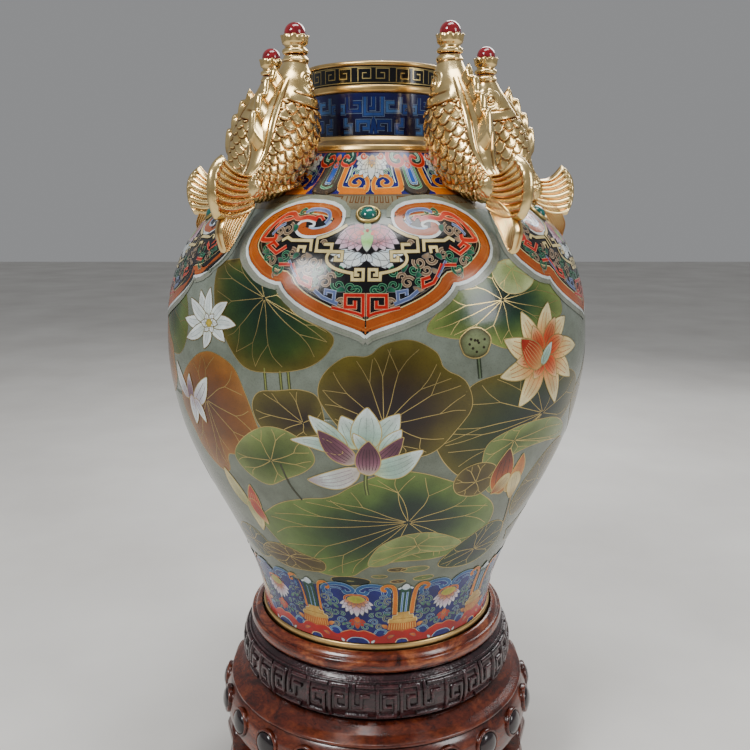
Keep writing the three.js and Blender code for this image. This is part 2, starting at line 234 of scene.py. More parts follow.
class Surface:
    """Gathers coloured grids of faces and makes them into one object."""

    def __init__(self):
        self.points = []
        self.faces = []
        self.tints = []
        self.count = 0

    def add(self, points, tints, wrap=False):
        rows, columns = points.shape[:2]
        index = np.arange(rows * columns).reshape(rows, columns) + self.count
        if wrap:
            index = np.concatenate([index, index[:, :1]], 1)
        quads = np.stack([index[:-1, :-1], index[:-1, 1:], index[1:, 1:], index[1:, :-1]], -1)
        flat = points.reshape(-1, 3)
        corners = flat[quads.reshape(-1, 4) - self.count]
        normals = np.cross(corners[:, 2] - corners[:, 0], corners[:, 3] - corners[:, 1])
        outward = corners.mean(1) * (1, 1, 0)
        if (normals * outward).sum() < 0:
            quads = quads[..., ::-1]
        self.points.append(flat)
        self.faces.append(quads.reshape(-1, 4))
        self.tints.append(np.broadcast_to(tints, points.shape).reshape(-1, 3))
        self.count += rows * columns

    def mesh(self, name, material):
        """The gathered faces as one smooth mesh, with their colours in its "tint" attribute."""
        tints = np.concatenate(self.tints)
        mesh = bpy.data.meshes.new(name)
        mesh.from_pydata(np.concatenate(self.points).tolist(), [], np.concatenate(self.faces).tolist())
        smooth(mesh)
        layer = mesh.color_attributes.new("tint", "FLOAT_COLOR", "POINT")
        rgba = np.concatenate([linear(tints), np.ones((len(tints), 1))], 1)
        layer.data.foreach_set("color", rgba.ravel())
        mesh.materials.append(material)
        return mesh

    def build(self, name, material, slot, body, *nodes):
        return finish_piece(name, self.mesh(name, material), slot, body, nodes)


def smooth(mesh):
    mesh.polygons.foreach_set("use_smooth", [True] * len(mesh.polygons))


def weld(mesh, distance=1e-6):
    """Joins points that meet and turns every face outwards."""
    work = bmesh.new()
    work.from_mesh(mesh)
    bmesh.ops.remove_doubles(work, verts=work.verts, dist=distance)
    bmesh.ops.recalc_face_normals(work, faces=work.faces)
    work.to_mesh(mesh)
    work.free()
    smooth(mesh)


def finish_piece(name, mesh, slot, body, nodes=(), turn=0.0):
    """Puts a mesh in the scene as a piece that rides on a body and stands for CAD nodes."""
    piece = bpy.data.objects.new(name, mesh)
    piece.rotation_euler = (0, 0, turn)
    bpy.context.scene.collection.objects.link(piece)
    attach(piece, body)
    if nodes:
        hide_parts(*nodes)
    return piece


class Painter:
    """Draws leaves, petals, lines and fills in (azimuth, height) on one placing function."""

    def __init__(self, place=on_jar):
        self.place = place
        self.enamel = Surface()
        self.wires = Surface()

    def between(self, side_a, side_b, colours, layer, rows=6):
        """Fills the space between two paths of the same length; colours run from a to b."""
        side_a = np.asarray(side_a, float)
        side_b = np.asarray(side_b, float)
        t = np.linspace(0, 1, rows)[:, None, None]
        grid = side_a[None] * (1 - t) + side_b[None] * t
        tints = blend_colours(colours, t[..., 0] + 0 * grid[..., 0])
        self.shaded(grid, tints, 1 + 0.05 * mottle(grid[..., 0], grid[..., 1], 1), layer)

    def band(self, low, high, colours, layer, rows):
        """A plain coloured hoop from one height to another."""
        azimuth = np.linspace(-180, 180, 361)
        bottom = np.stack([azimuth, low + 0 * azimuth], 1)
        top = np.stack([azimuth, high + 0 * azimuth], 1)
        self.between(bottom, top, colours, layer, rows)

    def patch(self, outline, hub, stops, layer, seed=1, rings=14, count=120, smooth=True, ripple=0.14):
        """A shape with a curved outline, coloured from its hub (0) to its rim (1)."""
        loop = spline(outline, count, True) if smooth else dense_path(outline, 3, self.place, False, True)
        hub = np.asarray(hub, float)
        t = np.linspace(0, 1, rings)
        grid = hub + t[:, None, None] * (loop - hub)[None]
        turn = np.linspace(0, math.tau, len(loop))
        rng = random.Random(seed)
        wander = sum(
            math.cos(rng.uniform(0, 6)) * np.sin(k * turn + rng.uniform(0, 6)) / (1 + k / 6)
            for k in (2, 3, 5, 8, 13, 29)
        )
        reach = t[:, None] + ripple * wander[None] * t[:, None] * (1.1 - t[:, None])
        tints = blend_colours(stops, reach)
        self.shaded(grid, tints, 1 + 0.07 * mottle(grid[..., 0], grid[..., 1], seed), layer)
        return loop

    def shaded(self, grid, tints, shade, layer):
        """Adds a grid of enamel whose tints are multiplied by shade."""
        points = self.place(grid[..., 0], grid[..., 1], layer * LAYER)
        self.enamel.add(points, np.clip(tints * shade[..., None], 0, 255))

    def line(self, corners, width, colour, layer, smooth=True, closed=False, taper=0.0, wire=False):
        """A ribbon along a path. Wires are gilt and slightly crowned."""
        path = dense_path(corners, 2.2, self.place, smooth, closed)
        scale, flat, _, normal = path_frame(path, self.place, closed)
        half = np.full(len(path), width / 2)
        if taper:
            run = np.linspace(0, 1, len(path))
            half = half * (1 - taper * run)
        columns = []
        for side in (-1, 0, 1):
            moved = flat + normal * (half * side)[:, None]
            azimuth = path[:, 0] + (moved[:, 0] - flat[:, 0]) / scale
            proud = WIRE_CROWN if wire and side == 0 else 0.0
            columns.append(self.place(azimuth, moved[:, 1], layer * LAYER + proud))
        points = np.stack(columns)
        target = self.wires if wire else self.enamel
        target.add(points, np.asarray(colour, float))

    def wire(self, corners, width, layer, smooth=True, closed=False, colour=GOLD_LINE):
        self.line(corners, width, colour, layer, smooth, closed, 0.0, True)

    def build(self, name, slot="upper_body_shell"):
        self.enamel.build(f"{name}_enamel", ENAMEL, slot, "vase")
        if self.wires.count:
            self.wires.build(f"{name}_wires", WIRE_GILT, slot, "vase")


def blend_colours(stops, amount):
    """Colour at each amount, from (place, colour) stops or from evenly spaced plain colours."""
    if len(stops[0]) == 2:
        places = [s[0] for s in stops]
        colours = np.array([s[1] for s in stops], float)
    else:
        places = np.linspace(0, 1, len(stops))
        colours = np.array(stops, float)
    return np.stack([np.interp(amount, places, colours[:, k]) for k in range(3)], -1)


def spiral(centre, radius, turns, start):
    """A curl that winds inwards; positive turns go anticlockwise. Returned in plain mm."""
    t = np.linspace(0, 1, 26)
    angle = math.radians(start) + t * turns * math.tau
    r = radius * (1 - 0.85 * t)
    return np.stack([centre[0] + r * np.cos(angle), centre[1] + r * np.sin(angle)], 1)


def square_spiral(width, height, flip):
    """The corners of a squared fret curl, starting at its outer foot; flip is 1 or -1."""
    shape = [(0, 0), (0, 1), (1, 1), (1, 0.22), (0.36, 0.22), (0.36, 0.66), (0.68, 0.66)]
    return [(flip * width * a, height * b) for a, b in shape]


# ---------------------------------------------------------------- materials

SHADOW = (0, 0, 0)
CLEAR = (255, 255, 255)


class Material:
    """A Principled material and the nodes that vary its colour, gloss and relief."""

    def __init__(self, name, **settings):
        self.mat = bpy.data.materials.new(name)
        self.mat.use_nodes = True
        self.nodes = self.mat.node_tree.nodes
        self.links = self.mat.node_tree.links
        self.shader = self.nodes["Principled BSDF"]
        for key, value in settings.items():
            self.shader.inputs[SOCKETS[key]].default_value = value

    def drive(self, socket, value):
        """Feeds a value to one of the shader's inputs."""
        self.links.new(value, self.shader.inputs[socket])

    def noise(self, scale, detail=5, rough=0.55, coords=None, distortion=0.0):
        node = self.nodes.new("ShaderNodeTexNoise")
        node.inputs["Scale"].default_value = scale
        node.inputs["Detail"].default_value = detail
        node.inputs["Roughness"].default_value = rough
        node.inputs["Distortion"].default_value = distortion
        if coords is None:
            coords = self.nodes.new("ShaderNodeTexCoord").outputs["Object"]
        self.links.new(coords, node.inputs["Vector"])
        return node.outputs["Fac"]

    def ramp(self, factor, low, colour_low, high, colour_high, *middle):
        """Colours along a factor; middle is one more (place, colour) stop between the two."""
        node = self.nodes.new("ShaderNodeValToRGB")
        elements = node.color_ramp.elements
        stops = [(low, colour_low), *middle, (high, colour_high)]
        while len(elements) < len(stops):
            elements.new(0.5)
        for element, (place, colour) in zip(elements, stops):
            element.position = place
            element.color = (*linear(colour), 1)
        self.links.new(factor, node.inputs["Fac"])
        return node.outputs["Color"]

    def spread(self, factor, low, high):
        """A factor from 0 to 1 spread between two values."""
        node = self.nodes.new("ShaderNodeMapRange")
        node.inputs["To Min"].default_value = low
        node.inputs["To Max"].default_value = high
        self.links.new(factor, node.inputs["Value"])
        return node.outputs["Result"]

    def mixed(self, factor, colour_a, colour_b, kind="MULTIPLY"):
        node = self.nodes.new("ShaderNodeMix")
        node.data_type = "RGBA"
        node.blend_type = kind
        factor_input, a_input, b_input = node.inputs[0], node.inputs[6], node.inputs[7]
        for socket, value in ((factor_input, factor), (a_input, colour_a), (b_input, colour_b)):
            if isinstance(value, float):
                socket.default_value = value
            elif isinstance(value, tuple):
                socket.default_value = (*linear(value), 1)
            else:
                self.links.new(value, socket)
        return node.outputs[2]

    def bump(self, height, strength, distance):
        node = self.nodes.new("ShaderNodeBump")
        node.inputs["Strength"].default_value = strength
        node.inputs["Distance"].default_value = distance
        self.links.new(height, node.inputs["Height"])
        self.drive("Normal", node.outputs["Normal"])

    def open_faces(self, reach):
        """Near 0 in crevices and near 1 on open faces."""
        node = self.nodes.new("ShaderNodeAmbientOcclusion")
        node.inputs["Distance"].default_value = reach
        node.samples = 6
        return node.outputs["AO"]

    def painted(self):
        """The colour that is painted on each point."""
        node = self.nodes.new("ShaderNodeAttribute")
        node.attribute_name = "tint"
        return node.outputs["Color"]


SOCKETS = {"metallic": "Metallic", "rough": "Roughness", "specular": "Specular IOR Level",
           "coat": "Coat Weight", "coat_rough": "Coat Roughness"}


def enamel_material():
    """Fired enamel: painted tints, fine mottling, pinholes and a glossy polish."""
    m = Material("enamel", specular=0.4, coat=0.12, coat_rough=0.06)
    tint = m.painted()
    coarse = m.noise(55, 4)
    fine = m.noise(900, 3, 0.7)
    deeper = m.nodes.new("ShaderNodeGamma")
    deeper.inputs["Gamma"].default_value = 1.28
    m.links.new(tint, deeper.inputs["Color"])
    shade = m.ramp(coarse, 0.3, (212, 212, 206), 0.7, CLEAR)
    grain = m.ramp(fine, 0.32, (205, 205, 205), 0.5, CLEAR)
    colour = m.mixed(1.0, deeper.outputs["Color"], shade)
    m.drive("Base Color", m.mixed(0.6, colour, grain))
    m.drive("Roughness", m.spread(coarse, 0.13, 0.24))
    m.bump(m.noise(260, 4), 0.05, 0.001)
    return m.mat


def gilt_material(name, bright, dark, rough_low, rough_high, reach=0.006):
    """Gilt metal: bright where it is rubbed, with brown painted shade in the creases."""
    m = Material(name, metallic=1.0)
    cloud = m.noise(70, 6, 0.6)
    worn = m.ramp(cloud, 0.3, tuple(int(c * 0.86) for c in bright), 0.65, bright)
    # painted shade: the dark colour is mixed in wherever ambient occlusion finds a crease
    crease_shade = m.ramp(m.open_faces(reach), 0.35, SHADOW, 0.85, CLEAR)
    m.drive("Base Color", m.mixed(crease_shade, dark, worn, "MIX"))
    m.drive("Roughness", m.spread(cloud, rough_low, rough_high))
    m.bump(m.noise(420, 5, 0.65), 0.12, 0.0006)
    return m.mat


def carp_gilt_material():
    """The fish's gilt: bright gold on the high places and brown-gold painted shade in the creases, painted
    per point.
    """
    m = Material("carp_gilt", metallic=1.0)
    tint = m.painted()
    cloud = m.noise(60, 6, 0.6)
    worn = m.ramp(cloud, 0.3, (234, 198, 128), 0.62, (250, 222, 160))
    colour = m.mixed(1.0, worn, tint)
    # painted shade: occlusion darkens the creases further towards brown-gold
    crease_shade = m.ramp(m.open_faces(0.005), 0.3, (176, 120, 66), 0.85, CLEAR)
    m.drive("Base Color", m.mixed(0.85, colour, crease_shade))
    m.drive("Roughness", m.spread(cloud, 0.15, 0.27))
    m.bump(m.noise(500, 5, 0.6), 0.10, 0.0005)
    return m.mat


def glass_like(name, deep, light, scale):
    """Polished stone or glass with cloudy depth."""
    m = Material(name, rough=0.08, coat=0.6, coat_rough=0.03)
    m.drive("Base Color", m.ramp(m.noise(scale, 6, 0.6, distortion=0.8), 0.3, deep, 0.7, light))
    m.bump(m.noise(300, 3), 0.04, 0.0005)
    return m.mat


def wood_material(name, dark, mid, light, rough, grain_scale, coat, punched=0.0):
    """Lacquered wood with curled grain and painted shade in its recesses, either smooth or with a punched
    ground.
    """
    m = Material(name, coat=coat, coat_rough=0.12)
    stretch = m.nodes.new("ShaderNodeMapping")
    stretch.inputs["Scale"].default_value = (1, 1, 2.6)
    m.links.new(m.nodes.new("ShaderNodeTexCoord").outputs["Object"], stretch.inputs["Vector"])
    coords = stretch.outputs["Vector"]
    curl = m.noise(grain_scale, 8, 0.62, coords, 1.6)
    fibre = m.noise(grain_scale * 9, 4, 0.7, coords, 0.6)
    figure = m.ramp(curl, 0.32, dark, 0.66, light, (0.48, mid))
    lines = m.ramp(fibre, 0.35, (150, 140, 140), 0.6, CLEAR)
    # painted shade: occlusion darkens the recesses towards a dark brown
    recess_shade = m.ramp(m.open_faces(0.008), 0.3, (70, 60, 60), 0.9, CLEAR)
    m.drive("Base Color", m.mixed(1.0, m.mixed(0.8, figure, lines), recess_shade))
    m.drive("Roughness", m.spread(curl, rough, rough + 0.14))
    if punched:
        m.bump(m.noise(430, 2, 0.5), punched, 0.0016)
    else:
        m.bump(fibre, 0.10, 0.0008)
    return m.mat


def plain_metal(name, colour, rough):
    """Dull bare metal for the hidden fixings."""
    m = Material(name, metallic=1.0)
    cloud = m.noise(40, 6, 0.6)
    m.drive("Base Color", m.ramp(cloud, 0.3, tuple(int(c * 0.6) for c in colour), 0.7, colour))
    m.drive("Roughness", m.spread(cloud, rough, rough + 0.2))
    m.bump(m.noise(200, 5), 0.15, 0.0008)
    return m.mat


ENAMEL = enamel_material()
GILT = gilt_material("gilt", (238, 202, 132), (140, 84, 34), 0.16, 0.30)
RING_GILT = gilt_material("ring_gilt", (226, 190, 126), (150, 104, 54), 0.26, 0.38, 0.003)
WIRE_GILT = gilt_material("wire_gilt", (206, 182, 118), (150, 116, 60), 0.26, 0.40)
CARP_GILT = carp_gilt_material()
RED_GLASS = glass_like("red_glass", (84, 6, 14), (150, 22, 34), 240)
GREEN_STONE = glass_like("green_stone", (6, 52, 54), (18, 110, 96), 170)
BURL_WOOD = wood_material("burl_wood", (46, 14, 8), (122, 50, 26), (182, 104, 60), 0.16, 26, 0.45)
CARVED_WOOD = wood_material("carved_wood", (30, 13, 17), (58, 28, 34), (88, 48, 50), 0.18, 34, 0.45, 0.35)
RED_WOOD = wood_material("red_wood", (52, 16, 8), (98, 36, 16), (134, 62, 30), 0.18, 22, 0.4)
BOSS_WOOD = wood_material("boss_wood", (14, 8, 12), (28, 16, 22), (48, 28, 30), 0.12, 40, 0.5)
STEEL = plain_metal("screw_steel", (170, 168, 164), 0.3)
COPPER = plain_metal("inner_copper", (190, 112, 70), 0.34)


# ---------------------------------------------------------------- the jar's walls

def lathe(name, node, outline, material, body="vase", columns=RING_COLUMNS, ground=None):
    """A closed ring that stands for a node, turned from an outline of (radius, height) in mm."""
    outline = np.asarray(outline, float)
    angle = np.linspace(0, math.tau, columns, endpoint=False)
    radius, height = outline[:, 0][:, None], outline[:, 1][:, None] + 0 * angle
    points = np.stack([radius * np.sin(angle), -radius * np.cos(angle), height], -1) * MM + (0, 0, FOOT)
    tints = np.array(WHITE, float) + 0 * points
    if ground:
        tints = ground(np.degrees(angle) + 0 * height, height)
    surface = Surface()
    surface.add(np.concatenate([points, points[:1]]), np.concatenate([tints, tints[:1]]), wrap=True)
    weld(surface.build(name, material, node, body, node).data)


def rounded(corners, radius, steps=4):
    """A closed outline with each corner rounded off; corners are (radius, height)."""
    corners = [np.array(c, float) for c in corners]
    out = []
    for i, corner in enumerate(corners):
        before = corners[i - 1]
        after = corners[(i + 1) % len(corners)]
        back = before - corner
        ahead = after - corner
        cut = min(radius, np.linalg.norm(back) * 0.45, np.linalg.norm(ahead) * 0.45)
        a = corner + back / np.linalg.norm(back) * cut
        b = corner + ahead / np.linalg.norm(ahead) * cut
        for t in np.linspace(0, 1, steps + 1):
            out.append((1 - t) ** 2 * a + 2 * t * (1 - t) * corner + t**2 * b)
    return np.array(out)


def scene_ground(azimuth, height):
    """The pond colour behind the leaves: greyer at the top, greener below, gently clouded."""
    share = np.clip((height - 82) / 300, 0, 1)[..., None]
    colour = np.array(GROUND) * (1 - share) + np.array(GROUND_HIGH) * share
    cloud = 1 + 0.04 * mottle(azimuth, height, 5)
    return np.clip(colour * cloud[..., None], 0, 255)


def shell_outline(low, high):
    """Outside and inside of the wall between two heights."""
    heights = np.linspace(low, high, max(12, int((high - low) / 3.5)))
    outside = np.stack([jar_radius(heights), heights], 1)
    inside = np.stack([jar_radius(heights) - WALL, heights], 1)[::-1]
    return np.concatenate([outside, inside])


def build_walls():
    for name, node, low, high in (("jar_upper", "upper_body_shell", SEAM + SEAM_GAP, SHELL_HIGH),
                                  ("jar_lower", "lower_body_shell", SHELL_LOW, SEAM - SEAM_GAP)):
        lathe(name, node, shell_outline(low, high), ENAMEL, "vase", SHELL_COLUMNS, scene_ground)


def node_span(node):
    """A node's lowest and highest points above the foot and its largest radius, in mm."""
    low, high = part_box(node)
    return (low.z - FOOT) / MM, (high.z - FOOT) / MM, high.x / MM


def plain_ground(colour):
    """A ground of one colour for lathe."""
    return lambda azimuth, height: np.array(colour) + 0 * height[..., None]


def build_rings():
    """The smooth gilt rings, the enamelled neck and the black mouth band."""
    neck_radius = node_span("neck_shell")[2]
    rings = [
        # piece, node, inner radius, rounding, steps of it, material, ground
        ("mouth_rim_ring", "mouth_rim", BORE, 1.6, 4, RING_GILT, None),
        ("mouth_band_ring", "mouth_band", BORE, 0.4, 4, ENAMEL, plain_ground(BLACK)),
        ("upper_collar_ring", "upper_collar", BORE, 2.6, 6, RING_GILT, None),
        ("neck_ring", "neck_shell", BORE, 0.4, 4, ENAMEL, plain_ground(NAVY)),
        ("lower_collar_ring", "lower_collar", BORE, 1.2, 4, RING_GILT, None),
        ("foot_rim_ring", "foot_rim", node_span("foot_rim")[2] - 6, 2.2, 6, RING_GILT, None),
    ]
    for piece, node, inner, rounding, steps, material, ground in rings:
        low, high, outer = node_span(node)
        corners = [(inner, low), (outer, low), (outer, high), (inner, high)]
        if node == "lower_collar":
            flare = [(outer - 1.5, (low + high) / 2 - 1), (neck_radius + 6, high - 1.5),
                     (neck_radius + 4, high + 1.5), (neck_radius + 0.3, high + 2)]
            corners[2:3] = flare
        lathe(piece, node, rounded(corners, rounding, steps), material, ground=ground)


def build_mouth_frets():
    """Two dozen squared gold curls in mirrored pairs on the black mouth band."""
    curls, curl_wide, curl_reach = 24, 10.4, 4.805
    low, high, radius = node_span("mouth_band")
    frets = Painter(on_tube(radius))
    tall = high - low
    scale = np.radians(radius)
    for i in range(curls):
        flip = 1 if i % 2 else -1
        left = (i + 0.5) * 360 / curls + DECOR_TURN - flip * curl_reach / scale
        curl = square_spiral(curl_wide, tall * 0.72, flip)
        path = [(left + x / scale, low + tall * 0.14 + y) for x, y in curl]
        frets.wire(path, 0.7, 2, False, colour=FRET_LINE)
    for edge in (low + 0.9, high - 0.9):
        frets.wire([(-180, edge), (0, edge), (180, edge)], 0.6, 2, False, colour=FRET_LINE)
    frets.band(low + 0.5, high - 0.5, [BLACK, BLACK], 1, 3)
    frets.build("mouth_frets", "mouth_band")


NECK_REPEATS = 6
NECK_BLUES = [(62, 98, 162), (36, 62, 134), (84, 124, 176)]
NECK_STROKES = [
    # mm across from the middle of a repeat, and above the neck's foot
    [(-13, 4), (-13, 12), (-4, 12), (-4, 6.5), (-9, 6.5)],
    [(13, 4), (13, 12), (4, 12), (4, 6.5), (9, 6.5)],
    [(-25, 3.5), (-19, 3.5), (-19, 9), (-23.5, 9), (-23.5, 15)],
    [(25, 3.5), (19, 3.5), (19, 9), (23.5, 9), (23.5, 15)],
    [(-22, 31), (-22, 20), (-11, 20), (-11, 26.5), (-17, 26.5)],
    [(22, 31), (22, 20), (11, 20), (11, 26.5), (17, 26.5)],
    [(-7, 31), (-7, 17.5), (7, 17.5), (7, 31)],
    [(0, 31), (0, 22), (-3.5, 22)],
    [(-28, 24), (-25, 24), (-25, 19), (-28, 19)],
    [(28, 24), (25, 24), (25, 19), (28, 19)],
    [(-2, 2.5), (0, 14), (2, 2.5)],
]


def build_neck_decoration():
    """Blue squared scrolls on navy, each line edged with a dark and then a pale one."""
    low, high, radius = node_span("neck_shell")
    neck = Painter(on_tube(radius))
    scale = np.radians(radius)
    neck.band(low + 0.3, high - 0.3, [NAVY, (28, 38, 108)], 1, 4)
    for k in range(NECK_REPEATS):
        middle = k * 360 / NECK_REPEATS + DECOR_TURN
        for number, shape in enumerate(NECK_STROKES):
            path = [(middle + x / scale, low + y + 0.6) for x, y in shape]
            neck.line(path, 3.8, (132, 154, 186), 2, False)
            neck.line(path, 3.1, (18, 26, 84), 3, False)
            neck.line(path, 2.2, NECK_BLUES[number % 3], 4, False)
    neck.build("neck_decoration", "neck_shell")


# ---------------------------------------------------------------- the pond scene

def add_leaf(art, outline, hub, colours, layer, veins=9, seed=1, ripple=0.16):
    """A lotus leaf: colours from the hub out, a gilt outline and forked gilt veins."""
    stops = list(zip((0.0, 0.34, 0.7, 1.0), colours))
    loop = art.patch(outline, hub, stops, layer, seed, ripple=ripple)
    art.wire(loop[::3], 0.5, layer + 0.3, True, True)
    rng = random.Random(seed)
    hub = np.asarray(hub, float)
    count = len(loop)
    for k in range(veins):
        place = int((k + rng.uniform(-0.2, 0.2)) * count / veins) % count
        swing = rng.uniform(-0.03, 0.03) * count
        stem = [hub + t * (loop[int(place + swing * t) % count] - hub) for t in (0.03, 0.25, 0.45, 0.62)]
        art.wire(stem, 0.5, layer + 0.4)
        for side in (-1, 1):
            spread = rng.uniform(0.018, 0.042) * count
            ends = [(0.62, swing), (0.78, swing + side * spread * 0.6), (0.93, swing + side * spread)]
            fork = [hub + t * (loop[int(place + s * (1 if t > 0.62 else t)) % count] - hub) for t, s in ends]
            art.wire(fork, 0.4, layer + 0.4)


def petal_sides(place, base, tip, width, bend, steps=14):
    """Left and right edges of a petal from its base to its pointed tip."""
    base = np.asarray(base, float)
    tip = np.asarray(tip, float)
    scale = mm_per_degree(place, (base[1] + tip[1]) / 2)
    run = np.array([(tip[0] - base[0]) * scale, tip[1] - base[1]])
    across = np.array([-run[1], run[0]]) / (np.linalg.norm(run) + 1e-9)
    u = np.linspace(0, 1, steps)
    half = width / 2 * np.sin(np.pi * np.clip(u, 0, 1) ** 0.85) ** 0.75
    half = half + width * 0.10 * (1 - u)
    middle = u[:, None] * run + (bend * np.sin(np.pi * u))[:, None] * across
    sides = []
    for sign in (-1, 1):
        edge = middle + sign * half[:, None] * across
        sides.append(np.stack([base[0] + edge[:, 0] / scale, base[1] + edge[:, 1]], 1))
    return sides


def petal_grid(left, right, colours, strips):
    """Points between a petal's edges, their colours from base to tip, and their share across."""
    u = np.linspace(0, 1, len(left))
    t = np.linspace(0, 1, strips)[:, None]
    grid = left[None] * (1 - t[..., None]) + right[None] * t[..., None]
    return grid, blend_colours(colours, u[None] + 0 * t), t


def add_petal(art, base, tip, width, colours, layer, bend=0.0, ribs=3, rib_colour=None, seed=1):
    """A petal shaded from base to tip, with fine ribs and a gilt outline."""
    left, right = petal_sides(art.place, base, tip, width, bend)
    grid, tints, t = petal_grid(left, right, colours, 7)
    edge_light = 1 + 0.10 * np.abs(t - 0.5) * 2
    art.shaded(grid, tints, edge_light * (1 + 0.04 * mottle(grid[..., 0], grid[..., 1], seed)), layer)
    for k in range(ribs):
        share = (k + 1) / (ribs + 1)
        rib = left * (1 - share) + right * share
        colour = rib_colour or tuple(c * 0.86 for c in colours[len(colours) // 2])
        art.line(rib[2:-3], 0.45, colour, layer + 0.15)
    loop = np.concatenate([left, right[::-1]])
    art.wire(loop[::2], 0.7, layer + 0.15, True, True)


def add_stem(art, corners, width, colour, layer):
    art.line(corners, width, colour, layer)
    art.line(corners, width * 0.35, tuple(min(255, c * 1.5 + 20) for c in colour), layer + 0.3)


def add_lotus(art, centre, size, layer, colours, petals, turn, seed):
    """An open lotus seen from above: two rings of petals round a small heart."""
    azimuth, height = centre
    rng = random.Random(seed)
    scale = mm_per_degree(art.place, height)
    for ring, (reach, width, count) in enumerate([(1.0, 0.40, petals), (0.66, 0.34, petals - 3)]):
        for k in range(count):
            angle = math.radians(turn + 360 * (k + 0.5 * ring) / count + rng.uniform(-8, 8))
            across, up = math.cos(angle) / scale, math.sin(angle)
            length = size * reach * rng.uniform(0.86, 1.08)
            tip = (azimuth + length * across, height + length * 0.92 * up)
            base = (azimuth + 0.12 * size * across, height + 0.12 * size * up)
            add_petal(art, base, tip, size * width, colours, layer + ring + 0.4 * (k % 2),
                      rng.uniform(-2, 2), 2, None, seed + k)
    loop = oval(centre, 0.16 * size / scale, 0.14 * size, 10)
    art.patch(loop, centre, [(0, (206, 186, 92)), (1, (150, 150, 70))], layer + 2.4, seed, 4, 30)


GREEN_LEAF = (PINE, MOSS, SAGE, (112, 122, 62))
OLIVE_LEAF = (PLUM, (58, 38, 30), (98, 86, 36), OLIVE_RIM)
PALE_LEAF = (MOSS, SAGE, (140, 156, 104), PALE_SAGE)
AMBER_LEAF = (RUST, (132, 84, 36), AMBER, (176, 128, 66))
DEEP_LEAF = ((20, 40, 36), PINE, (48, 74, 52), MOSS)
STEM_GREEN = (92, 96, 54)


